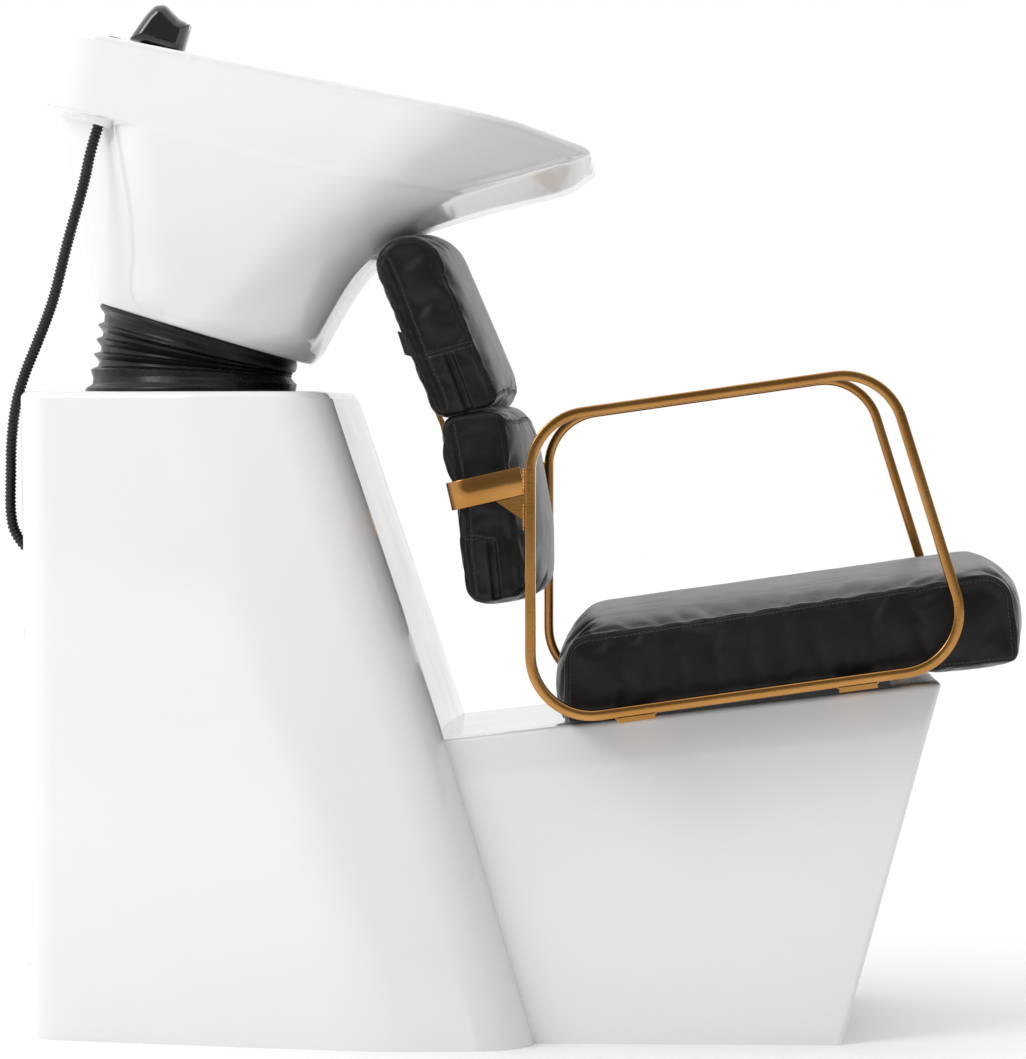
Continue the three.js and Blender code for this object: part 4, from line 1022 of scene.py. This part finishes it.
LEVER_SIDE = [(-160.6, 303.2, 2), (-155, 321, 40), (-150, 335, 30), (-143.5, 346.5, 9), (-133.5, 350.2, 9),
              (-124, 344.5, 40), (-114.5, 339.4, 12), (-108.5, 338.6, 5), (-101.2, 336.4, 3), (-100.8, 303.2, 2)]
LEVER_HALF = 19.8
LEVER_FOOT = 303.2
LEVER_MARKER = [(-113, -9, 330), (-101.6, -9, 329), (-101.6, 9, 329), (-113, 9, 330)]
MARKER_HIGH = 8.2


def lever():
    """A pillow of black lacquer, hollow over the collar, with a chrome marker on its front."""
    rings = []
    for share in (0, 0.3, 0.52, 0.7, 0.82, 0.9, 0.95, 0.98, 0.995, 1.0):
        draw = 11 * (1 - math.sqrt(1 - share ** 2.4))
        pts = rounded(inset(LEVER_SIDE[::-1], draw), 8)
        rings.append(np.array([(x, LEVER_HALF * share, max(z, LEVER_FOOT)) for x, z in pts]))
    work = temp("lever_work", both_halves(rings))
    hole = lathe([(0, 290), (13, 290), (13, 318), (0, 318)], (MIXER_X, 0), 40)
    boolean(work, temp("lever_hole", clean(hole)), "DIFFERENCE")
    set_coords(work, basin_to_row(coords(work)))
    obj = finish_piece("lever_handle", taken(work), "black_handle", "lever", 40)
    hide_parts("mixer_lever")
    strip = np.array(LEVER_MARKER + [(x, y, z + MARKER_HIGH) for x, y, z in LEVER_MARKER])
    faces = block_part((0, 0, 0), (1, 1, 1))[1]
    obj = piece("lever_marker", basin_to_row(strip), faces, "chrome", "lever", 30)
    ease_edges(obj, 1.4, 4)


def taps():
    mixer, drain = (MIXER_X, 0), (FOOT_X, 0)
    turned_piece("tap_body", "mixer_body", [
        (0, 226), (8, 226), (8, DECK + 0.3), (27, DECK + 0.3), (27, DECK + 5), (24, DECK + 8), (23.4, 290),
        (24, 291.5), (24, 296), (0, 296)], mixer, "black_handle", "basin_head")
    turned_piece("tap_collar", "mixer_collar", [
        (0, 296.5), (23.5, 296.5), (23.5, 298.2), (22.9, 298.6), (22.9, 299.4), (23.5, 299.8), (23.5, 301.5),
        (9, 302), (9, 308), (0, 308)], mixer, "chrome", "swivel_collar", 0.4)
    turned_piece("shower_sleeve", "shower_holder", [
        (12, DECK - 24), (15, DECK - 24), *ringed(DECK - 22, DECK - 8, 15, 1.5, 0.7), (15, DECK + 0.3),
        (20, DECK + 0.3), (20, DECK + 3), (12, DECK + 3), (12, DECK - 24)],
        SHOWER, "chrome", "basin_head", 0.5)
    turned_piece("shower_bush", "shower_holder", [
        (9.5, BRACKET_TIP + 3), (12, BRACKET_TIP), (17, BRACKET_TIP + 9), (17, DECK - 24.2), (9.5, DECK - 24.2),
        (9.5, BRACKET_TIP + 3)], SHOWER, "ceramic", "basin_head", 1.6)
    turned_piece("shower_handle", "hand_shower", [
        (0, 240), (9.5, 240), (11, 244), (11, DECK + 3.3), (16, DECK + 3.3), (18.5, DECK + 12),
        *ringed(DECK + 14, 284, 19, 2.2, 0.5), (19.5, 286.5), (19.5, 288), (17, 290.5), (0, 290.5)],
        SHOWER, "black_handle", "hand_spray", 0.7)
    face = [lathe([(0, 290.8), (15.5, 290.8), (15.5, 292.3), (14.8, 292.9), (13.4, 292.9), (12.8, 292.4),
                   (0, 292.4)], SHOWER, 64)]
    # the spray nozzles, in circles
    for count, radius in ((1, 0), (6, 4.2), (12, 8.3), (16, 11.4)):
        for i in range(count):
            a = 2 * math.pi * (i + 0.5) / count
            spot = (SHOWER[0] + radius * math.cos(a), SHOWER[1] + radius * math.sin(a))
            face.append(lathe([(0, 292.2), (0.75, 292.2), (0.6, 293.4), (0.3, 293.5), (0, 293.2)], spot, 10))
    verts, faces = clean(join_parts(face))
    obj = piece("spray_rose", basin_to_row(verts), faces, "black_plastic", "hand_spray", 50)
    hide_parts("spray_face")
    turned_piece("hose_collar", "hose_ferrule", [
        (0, BRACKET_TIP + 1), (6.6, BRACKET_TIP + 1), (7.5, BRACKET_TIP + 2.5),
        *ringed(BRACKET_TIP + 6, 228, 7.5, 1.6, 0.5), (7.5, 236), (6, 239.7), (0, 239.7)],
        SHOWER, "chrome", "hand_spray", 0.3)
    floor = BOWL_FLOOR
    thread = ringed(-40, floor - 26, 20, 1.6, 0.8)
    turned_piece("waste_pipe", "waste_body", [
        (16, -45), (19.4, -45), (20, -44), *thread, (20, floor + 0.3), (36, floor + 0.3), (35.2, floor + 1.4),
        (33, floor + 2.6), (30, floor + 3), (26, floor + 2.8), (16, floor - 6), (16, -45)],
        drain, "chrome", "basin_head", 0.4)


lever()
taps()
for plain, width in (("strainer", 0.35), ("waste_nut", 0.8), ("mixer_nut", 0.6), ("shower_holder_nut", 0.6),
                     ("hose_union", 0.5), ("tilt_bracket_lower", 0.6), ("tilt_bracket_upper", 0.6)):
    bevel_node(plain, width)


# ---------------------------------------------------------------- bellows
BELLOWS_FOOT = (-359.7, 656.3)
BELLOWS_HEAD = basin_to_row([(-3.3, 0, 29.4)])[0]
BELLOWS_WALL = 2.2
# (share of the height at the tall rear, radius there, share at the short front, radius there)
BELLOWS_FOLDS = [
    (0.0, 111.5, 0.0, 108.5), (0.035, 111.5, 0.06, 109.5), (0.1, 104.6, 0.25, 109.0), (0.16, 104.2, 0.36, 105.0),
    (0.25, 108.2, 0.44, 103.0), (0.31, 100.5, 0.46, 102.5), (0.36, 100.2, 0.48, 102.5), (0.43, 106.6, 0.50, 103.6),
    (0.485, 99.8, 0.52, 102.6), (0.53, 100.0, 0.54, 102.6), (0.6, 106.0, 0.56, 103.8), (0.655, 99.8, 0.58, 102.8),
    (0.7, 100.0, 0.6, 102.8), (0.765, 106.2, 0.64, 105.6), (0.82, 100.6, 0.74, 107.2), (0.9, 100.8, 0.86, 107.6),
    (0.965, 107.5, 0.96, 107.6), (1.0, 107.0, 1.0, 107.2)]


def bellows_level(k, front, angle):
    """Share of the height and radius of fold line k, where front goes from 0 at the rear to 1."""
    rear_u, rear_r, front_u, front_r = BELLOWS_FOLDS[k]
    wander = noise.noise(Vector((math.cos(angle) * 1.2, math.sin(angle) * 1.2, k * 0.83)))
    inner = math.sin(math.pi * (rear_u + (front_u - rear_u) * front))
    return (rear_u + (front_u - rear_u) * front + 0.014 * wander * inner,
            rear_r + (front_r - rear_r) * front + 0.9 * wander * inner)


def bellows():
    sides, per = 96, 4
    spans = len(BELLOWS_FOLDS) - 1
    outside, inside = [], []
    for step in range(spans * per + 1):
        k = min(step // per, spans - 1)
        part = step / per - k
        for store, thin in ((outside, 0.0), (inside, BELLOWS_WALL)):
            ring = []
            for i in range(sides):
                a = 2 * math.pi * i / sides
                front = 0.5 + 0.5 * math.cos(a)
                (u0, r0), (u1, r1) = bellows_level(k, front, a), bellows_level(k + 1, front, a)
                u = u0 + (u1 - u0) * part
                bend = part * part * (3 - 2 * part) if r1 < r0 else part
                r = r0 + (r1 - r0) * bend - thin
                reach, angle = r * math.cos(a), TILT * u
                x = BELLOWS_FOOT[0] + (BELLOWS_HEAD[0] - BELLOWS_FOOT[0]) * u
                z = BELLOWS_FOOT[1] + (BELLOWS_HEAD[2] - BELLOWS_FOOT[1]) * u
                ring.append((x + reach * math.cos(angle), r * math.sin(a), z - reach * math.sin(angle)))
            store.append(ring)
    verts, faces = loft(outside + inside[::-1], False, True)
    obj = piece("bellows_sleeve", verts, faces, "black_rubber", None, 50)
    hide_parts("bellows")
    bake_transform(obj)


bellows()


# ---------------------------------------------------------------- shower hose
HOSE_Y = -100.0
HOSE_RADIUS, HOSE_RIB, HOSE_PITCH = 5.3, 0.68, 3.9
HOSE_SAMPLES = 2401
HOSE_TOP, HOSE_STRAIGHT = 203.7, 175.0


def arc(x, z, r, start, end, count):
    angles = np.radians(np.linspace(start, end, count + 1))
    return [(x + r * math.cos(a), HOSE_Y, z + r * math.sin(a)) for a in angles]


def hose_route():
    top = basin_to_row([(*SHOWER, HOSE_TOP), (*SHOWER, HOSE_STRAIGHT)])
    return [tuple(top[0]), tuple(top[1]), (-449, -166, 867), (-468, -150, 808), (-486, -133, 749),
            (-504, -118, 707.5), (-518.8, -108, 675), (-528.3, -103, 646), (-533.8, -100, 610), (-535, HOSE_Y, 572),
            *arc(-487, 532, 48, 180, 270, 4), *arc(-487, 434, 50, 90, 0, 4)[1:],
            (-437, HOSE_Y, 350), (-437, HOSE_Y, 270), *arc(-387, 205, 50, 180, 360, 6),
            (-337, HOSE_Y, 300), (-337, HOSE_Y, 424.7)]


def frames_along(path):
    """A twist-free pair of side vectors at each point."""
    tangents = np.gradient(path, axis=0)
    tangents /= np.linalg.norm(tangents, axis=1)[:, None]
    side = np.cross(tangents[0], (0, 1, 0))
    if np.linalg.norm(side) < 0.1:
        side = np.cross(tangents[0], (1, 0, 0))
    side /= np.linalg.norm(side)
    sides = []
    for t in tangents:
        side = side - t * (side @ t)
        side /= np.linalg.norm(side)
        sides.append(side)
    sides = np.array(sides)
    return sides, np.cross(tangents, sides)


def tube(path, radius_at, sides):
    u, v = frames_along(path)
    angles = np.linspace(0, 2 * math.pi, sides, endpoint=False)
    rings = []
    for i, p in enumerate(path):
        r = np.array([radius_at(i, a) for a in angles])[:, None]
        rings.append(circle(p, r, u[i], v[i], sides))
    return loft(rings)


def shower_hose():
    path, length = centripetal(hose_route(), HOSE_SAMPLES)
    step = length / (HOSE_SAMPLES - 1)

    def radius(i, angle):
        return HOSE_RADIUS + HOSE_RIB * math.cos(2 * math.pi * i * step / HOSE_PITCH - angle)

    obj = piece("ribbed_hose", *tube(path, radius, 14), "hose_black", None, 75)
    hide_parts("shower_hose")
    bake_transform(obj)


shower_hose()


# ---------------------------------------------------------------- cushions
# Each is a side outline and the outline it swells to at mid width: (x, z, corner radius).
SEAT_SIDE = [(41, 327.4, 12), (402, 378.4, 60), (490, 388, 8), (480.5, 477.5, 26), (42, 409, 24)]
SEAT_MIDDLE = [(27, 325.4, 14), (402, 378.4, 60), (505, 390, 16), (493, 488, 34), (27, 424, 60)]
UPPER_SIDE = [(-91, 629, 12), (-24, 641.5, 12), (-99, 815, 30), (-160, 802, 30)]
UPPER_MIDDLE = [(-91, 629, 12), (-13, 644, 18), (-90, 824, 36), (-160, 806, 30)]
LOWER_REAR = [(-85, 628.6, 12), (-83, 590, 30), (-70, 551, 25)]
LOWER_SIDE = [(-58, 443, 12), (0, 452, 14), (-12, 540, 60), (-24, 640, 12), *LOWER_REAR]
LOWER_MIDDLE = [(-58, 441, 14), (18, 448, 20), (17, 520, 80), (-6, 642, 24), *LOWER_REAR]
SEAT_HALF = 242.0
BACK_HALF = 205.0
COVER_VOXEL = 5.0
LIP_SEAMS = {"lower": (-8, 630), "upper": (-14, 651)}
STUFFING_CAP = 5.0
STUFFING_FRAMES = 20
PLEAT_HALF, PLEAT_DEEP = 3.8, 3.4
STITCH_PITCH, STITCH_LONG, STITCH_THICK = 4.3, 3.0, 0.42
# each back cushion's board: a point on its front, as (x, z), and its lean
BACKS = {"lower": ((-66.5, 550), 0.112), "upper": ((-84, 625), 0.4116)}


def pad_solid(side, middle, half, power):
    """A boxed cushion: its side outline swells to the middle one across the width."""
    rings = []
    for s in (0, 0.12, 0.25, 0.4, 0.55, 0.68, 0.78, 0.86, 0.92, 0.955, 0.978, 0.992, 1.0):
        u = 1 - s ** power
        draw = float(np.interp(s, (0.97, 0.992, 1), (0, 0.7, 3.0)))
        mixed = [tuple(a + (b - a) * u for a, b in zip(p, q)) for p, q in zip(side, middle)]
        pts = rounded(inset(mixed, draw), 9)
        rings.append(np.array([(x, s * half, z) for x, z in pts]))
    return both_halves(rings)


def nearest_on(lines, points):
    """The distance from each point to the nearest sample of the lines."""
    tree = tree_of(np.concatenate(lines))
    return np.array([tree.find(p)[2] for p in points])


def inflate(obj, held):
    """Stuffs the cover by a short cloth simulation. Held points stay, and no point moves beyond the cap."""
    before = coords(obj)
    group = obj.vertex_groups.new(name="held")
    for weight in (0.3, 0.6, 1.0):
        chosen = np.nonzero(np.isclose(held, weight))[0]
        group.add([int(i) for i in chosen], weight, "REPLACE")
    mod = obj.modifiers.new("stuffing", "CLOTH")
    for key, value in {"quality": 5, "mass": 0.3, "tension_stiffness": 18, "compression_stiffness": 18,
                       "shear_stiffness": 8, "bending_stiffness": 2, "use_pressure": True,
                       "uniform_pressure_force": 4.0, "vertex_group_mass": "held", "shrink_min": -0.02}.items():
        setattr(mod.settings, key, value)
    mod.settings.effector_weights.gravity = 0
    mod.collision_settings.use_collision = False
    mod.point_cache.frame_start, mod.point_cache.frame_end = 1, STUFFING_FRAMES
    scene = bpy.context.scene
    for f in range(1, STUFFING_FRAMES + 1):
        scene.frame_set(f)
    shown = obj.evaluated_get(bpy.context.evaluated_depsgraph_get())
    after = np.array([v.co for v in shown.data.vertices], float) / MM
    obj.modifiers.clear()
    obj.vertex_groups.clear()
    scene.frame_set(1)
    move = after - before
    size = np.linalg.norm(move, axis=1)[:, None] + 1e-9
    set_coords(obj, before + move / size * STUFFING_CAP * np.tanh(size / STUFFING_CAP))


def refine_near(obj, lines, reach):
    """Splits the faces beside the seams, so that a seam is crisp."""
    near = nearest_on(lines, coords(obj)) < reach

    def change(work):
        faces = [f for f in work.faces if any(near[v.index] for v in f.verts)]
        edges = {e for f in faces for e in f.edges}
        bmesh.ops.subdivide_edges(work, edges=list(edges), cuts=1, use_grid_fill=True, smooth=0.6)

    edited(obj.data, change)
    obj.data.update()


def surface_of(obj):
    co = coords(obj)
    faces = [tuple(f.vertices) for f in obj.data.polygons]
    return BVHTree.FromPolygons([Vector(p) for p in co], faces)


def laid_on(tree, line):
    """The line moved to the nearest places on the surface, with the surface's normals."""
    hits = [tree.find_nearest(Vector(p)) for p in line]
    return np.array([h[0] for h in hits]), np.array([h[1] for h in hits])


def even(line, gap):
    """Points at an even gap along a polyline."""
    line = np.asarray(line, float)
    run = run_along(line)
    return sampled(line, run, max(2, int(round(run[-1] / gap)) + 1))


def groove(obj, lines, depth, width, lip):
    """Presses lines into the cover, with a slight swell on each side."""
    co = coords(obj)
    gap = nearest_on(lines, co)
    shape = -depth * np.exp(-(gap / width) ** 2) + lip * np.exp(-((gap - 3.5) / 2.0) ** 2)
    set_coords(obj, co + vertex_normals(obj) * shape[:, None])


def stitches(tree, lines, aside):
    """Short thread bars that run beside each line."""
    ends = ((-0.5, 0.12, -0.25), (-0.34, STITCH_THICK, 0.1), (0.34, STITCH_THICK, 0.1), (0.5, 0.12, -0.25))
    parts = []
    for line in lines:
        run = even(line, STITCH_PITCH)
        tangents = np.gradient(run, axis=0)
        tangents /= np.linalg.norm(tangents, axis=1)[:, None]
        spots, normals = laid_on(tree, run)
        across = np.cross(normals, tangents)
        spots, normals = laid_on(tree, spots + across * aside)
        for p, n, t in zip(spots, normals, tangents):
            t = t - n * (t @ n)
            t /= np.linalg.norm(t)
            side = np.cross(n, t)
            parts.append(loft([circle(p + t * STITCH_LONG * along + n * lift, r, side, n, 6)
                               for along, r, lift in ends]))
    return join_parts(parts)


def welt(tree, lines, radius, sunk):
    """A folded edge of leather that runs along each line, part sunk in the surface."""
    parts = []
    for line in lines:
        run = even(line, 2.5)
        spots, normals = laid_on(tree, run)
        parts.append(tube(spots - normals * sunk, lambda i, a: radius, 8))
    return join_parts(parts)


def both_sides(lines):
    return [np.asarray(line, float) for line in lines] + [np.asarray(line, float) * (1, -1, 1) for line in lines]


def on_side(points, half):
    """A near-side line from (x, z) points."""
    return even([(x, -half - 1, z) for x, z in points], 2.0)


def stuffed(name, solid, seams, resting, lumps):
    """Simulates one cushion's cover. seams hold it in, and resting(points) marks what lies flat."""
    obj = temp(name, solid)
    modify(obj, "REMESH", mode="VOXEL", voxel_size=COVER_VOXEL * MM)
    modify(obj, "SMOOTH", factor=0.5, iterations=3)
    apply_modifiers(obj)
    co = coords(obj)
    gap = nearest_on(seams, co)
    held = np.where(gap < 3.5, 1.0, np.where(gap < 7, 0.3, 0.0))
    held[resting(co)] = 1.0
    inflate(obj, held)
    modify(obj, "SUBSURF", levels=1, render_levels=1)
    apply_modifiers(obj)
    co, n = coords(obj), vertex_normals(obj)
    wave = np.array([noise.noise(Vector(p / 55)) + 0.5 * noise.noise(Vector(p / 24 + 7)) for p in co])
    wave[resting(co)] = 0
    set_coords(obj, co + n * (wave * lumps)[:, None])
    return obj


def finish_cushion(obj, node):
    made = finish_piece(node + "_cover", taken(obj), "upholstery", "base", 180)
    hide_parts(node)


def sewn(name, part, material):
    piece(name, *part, material, "base", 80, "upholstery")


def seat_floor(x):
    return 322.35 + (x - 8) * 0.14123


def seat():
    half = SEAT_HALF

    def resting(co):
        return (co[:, 2] < seat_floor(co[:, 0]) + 9) & (co[:, 0] < 395)

    ring = rounded(inset(SEAT_SIDE, 1.4), 12)
    panel = even([(x, -half + 0.6, z) for x, z in np.vstack([ring, ring[:1]])], 2.0)
    # the seam runs round the panel but not along the part that rests on the bars
    outline = [p for p in panel if not (p[2] < seat_floor(p[0]) + 8 and 52 < p[0] < 395)]
    split = max(range(len(outline) - 1), key=lambda i: np.linalg.norm(outline[i + 1] - outline[i]))
    seams = both_sides([np.array(outline[split + 1:] + outline[:split + 1])])
    obj = stuffed("seat_work", pad_solid(SEAT_SIDE, SEAT_MIDDLE, half, 2.6), both_sides([panel]), resting, 0.25)
    # the underside lies flat on the cross bars
    co = coords(obj)
    flat = (co[:, 2] < seat_floor(co[:, 0]) + 6) & (co[:, 0] < 380)
    co[flat, 2] = seat_floor(co[flat, 0]) - 0.35
    co[:, 2] = np.where(co[:, 0] < 380, np.maximum(co[:, 2], seat_floor(co[:, 0]) - 0.35), co[:, 2])
    set_coords(obj, co)
    refine_near(obj, seams, 4.5)
    groove(obj, seams, 1.5, 1.7, 0.5)
    tree = surface_of(obj)
    sewn("seat_welt", welt(tree, [even(s, 2.0) for s in seams], 0.95, 0.25), "upholstery")
    rows = join_parts([stitches(tree, seams[:1], 3.4), stitches(tree, seams[1:], -3.4)])
    sewn("seat_stitches", rows, "thread")
    finish_cushion(obj, "seat_cushion")


def back_plane(which, z):
    (x, level), lean = BACKS[which]
    return x - (z - level) * lean


def back_rest(which, low, high):
    """Marks the part of a back cushion that lies on its board."""
    def resting(co):
        return ((co[:, 0] < back_plane(which, co[:, 2]) + 6) & (np.abs(co[:, 1]) < 180)
                & (co[:, 2] > low) & (co[:, 2] < high))
    return resting


def pleat(obj, top, foot):
    """A sewn-in box pleat down the near and the far side panel."""
    co, n = coords(obj), vertex_normals(obj)
    a, b = np.array(top, float), np.array(foot, float)
    along = (b - a) / np.linalg.norm(b - a)
    rel = co[:, (0, 2)] - a
    run = rel @ along
    off = np.abs(rel @ np.array([along[1], -along[0]]))
    fade = np.clip(run / 4, 0, 1) * (np.abs(n[:, 1]) > 0.45)
    shape = -PLEAT_DEEP / (1 + np.exp((off - PLEAT_HALF) / 0.55))
    shape = shape + 0.9 * np.exp(-((off - PLEAT_HALF - 2.2) / 1.6) ** 2)
    set_coords(obj, co + np.sign(co[:, 1])[:, None] * np.array([0, 1.0, 0]) * (shape * fade)[:, None])


def pleat_lines(top, foot, half):
    a, b = np.array(top, float), np.array(foot, float)
    along = (b - a) / np.linalg.norm(b - a)
    side = np.array([along[1], -along[0]])
    return [on_side([tuple(a + side * s * PLEAT_HALF), tuple(b + side * s * PLEAT_HALF)], half) for s in (-1, 1)]


def across(x, z, half):
    """A line from side to side over the front face."""
    return np.array([(x + 6, y, z) for y in np.linspace(-half + 3, half - 3, 60)])


def back_cushion(which, side, middle, rear, level, front, top, foot, low, high):
    """rear, level and front are the panel's sewn lines as (x, z) points."""
    half = BACK_HALF
    rear_seam, level_seam = on_side(rear, half), on_side(level, half)
    front_seam = even([(x, -half + 0.6, z) for x, z in front], 2.0)
    lip_seam = across(*LIP_SEAMS[which], half)
    held = both_sides([rear_seam, level_seam, front_seam]) + [lip_seam]
    resting = back_rest(which, low, high)
    obj = stuffed(which + "_work", pad_solid(side, middle, half, 2.3), held, resting, 0.22)
    tree = surface_of(obj)
    held = [laid_on(tree, line)[0] for line in held]
    pleats = [laid_on(tree, line)[0] for line in both_sides(pleat_lines(top, foot, half))]
    refine_near(obj, held + pleats, 5.0)
    groove(obj, held, 1.3, 1.6, 0.45)
    pleat(obj, top, foot)
    co = coords(obj)
    flat = resting(co)
    co[flat, 0] = back_plane(which, co[flat, 2]) - 0.2
    set_coords(obj, co)
    tree = surface_of(obj)
    rows = [stitches(tree, [line], s * 2.6) for line, s in zip(held[:2] + held[3:5], (1, 1, -1, -1))]
    rows += [stitches(tree, [line], -s * 2.6) for line, s in zip([held[1], held[4]], (1, -1))]
    rows.append(stitches(tree, [held[6]], 2.6))
    rows += [stitches(tree, [line[-12:]], s * 2.4) for line, s in zip([held[2], held[5]], (1, -1))]
    sewn(which + "_back_stitches", join_parts(rows), "thread")
    sewn(which + "_back_welt", welt(tree, held, 0.8, 0.3), "upholstery")
    finish_cushion(obj, which + "_back_cushion")


seat()
back_cushion("upper", UPPER_SIDE, UPPER_MIDDLE,
             [(-137.5, 787), (-127, 763.3), (-111.8, 721.1), (-99.1, 689.2), (-86.3, 659.9), (-79, 641)],
             [(-99.5, 691), (-50.4, 704.5)],
             [(-86.5, 797), (-76.1, 776), (-63.4, 737.7), (-43, 684.1), (-27.6, 651)],
             (-77.4, 695), (-55, 637), 652, 779)
back_cushion("lower", LOWER_SIDE, LOWER_MIDDLE,
             [(-73, 622), (-68.5, 597), (-62.5, 566), (-56.5, 536), (-56, 500), (-50, 452)],
             [(-56.3, 510), (-32, 506.3)],
             [(-25.5, 634), (-20.4, 613.5), (-16.4, 586.7), (-12.4, 526.5), (-4.4, 486.3), (-1.5, 462)],
             (-33.8, 507), (-27.7, 446), 468, 608)


def tag():
    """A folded loop of woven tape caught in the rear seam, with a hemmed free edge."""
    low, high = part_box("cushion_tag")
    x0, x1, z0, z1 = (v / MM for v in (low[0], high[0], low[2], high[2]))
    mid = 0.5 * (low[1] + high[1]) / MM
    slant = 0.34
    rows, cols = 13, 11
    front, back = [], []
    for r in range(rows):
        for c in range(cols):
            u, v = r / (rows - 1), c / (cols - 1)
            out = 1 - v
            x = x1 + (x0 - x1) * (slant + (1 - slant) * out) - (x1 - x0) * slant * u + (x1 - x0) * slant
            z = z0 + 0.6 + (z1 - z0 - 5.2) * u + 4 * out
            wave = 0.5 * math.sin(2.6 * u + 1) * out
            thick = 0.32 + 0.16 * (out > 0.93) + 0.1 * (u < 0.06 or u > 0.94)
            front.append((x, mid - thick + wave, z))
            back.append((x, mid + thick + wave, z))
    faces = grid_faces(rows, cols, False)
    n = rows * cols
    faces += [tuple(i + n for i in f[::-1]) for f in faces]
    rim = (list(range(cols)) + [r * cols + cols - 1 for r in range(1, rows)]
           + [(rows - 1) * cols + c for c in range(cols - 2, -1, -1)] + [r * cols for r in range(rows - 2, 0, -1)])
    faces += [(a, rim[(i + 1) % len(rim)], rim[(i + 1) % len(rim)] + n, a + n) for i, a in enumerate(rim)]
    obj = piece("woven_tag", front + back, faces, "tag_cloth", "base", 60)
    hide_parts("cushion_tag")


tag()


# ---------------------------------------------------------------- floor and light
FLOOR_HALF = 14
# place, target, size and power
KEY_LIGHT = ((-2.2, -2.2, 2.4), (0, 0, 0.55), (1.8, 1.4), 36)
# direction, the range of it that fades, and the brightness at both ends: white above and behind the object, darker
# in front of it and toward the client's feet
SKY = (("Y", -0.97, -0.5, 0.24, 1.0), ("X", 0.25, 0.9, 1.0, 0.5), ("Z", 0.12, 0.6, 1.0, 1.27))


def stage():
    plane = bpy.data.meshes.new("floor")
    edge = FLOOR_HALF
    plane.from_pydata([(-edge, -edge, 0), (edge, -edge, 0), (edge, edge, 0), (-edge, edge, 0)], [], [(0, 1, 2, 3)])
    floor = placed("floor", plane)
    m = Mat("studio_floor", (0.97, 0.97, 0.97), 0.7)
    m.rough(m.noise(3.0, 3), 0.65, 0.75)
    plane.materials.append(m.mat)
    sky()
    area("key", *KEY_LIGHT)


def sky():
    """A pale studio."""
    world = bpy.data.worlds.new("studio")
    bpy.context.scene.world = world
    world.use_nodes = True
    nodes, links = world.node_tree.nodes, world.node_tree.links
    parts = nodes.new("ShaderNodeSeparateXYZ")
    links.new(nodes.new("ShaderNodeTexCoord").outputs["Generated"], parts.inputs["Vector"])
    shares = []
    for axis, low, high, at_low, at_high in SKY:
        ramp = nodes.new("ShaderNodeMapRange")
        ramp.interpolation_type = "SMOOTHSTEP"
        links.new(parts.outputs[axis], ramp.inputs["Value"])
        for key, value in (("From Min", low), ("From Max", high), ("To Min", at_low), ("To Max", at_high)):
            ramp.inputs[key].default_value = value
        shares.append(ramp.outputs["Result"])
    total = shares[0]
    for share in shares[1:]:
        both = nodes.new("ShaderNodeMath")
        both.operation = "MULTIPLY"
        links.new(total, both.inputs[0])
        links.new(share, both.inputs[1])
        total = both.outputs["Value"]
    links.new(total, nodes["Background"].inputs["Strength"])
    nodes["Background"].inputs["Color"].default_value = (1, 1, 1, 1)


def area(name, place, target, size, power):
    data = bpy.data.lights.new(name, "AREA")
    data.shape = "RECTANGLE"
    data.size, data.size_y = size
    data.energy = power
    obj = placed(name, data)
    obj.location = place
    obj.rotation_euler = (Vector(target) - Vector(place)).to_track_quat("-Z", "Y").to_euler()


stage()
bpy.context.scene.view_settings.view_transform = "Standard"
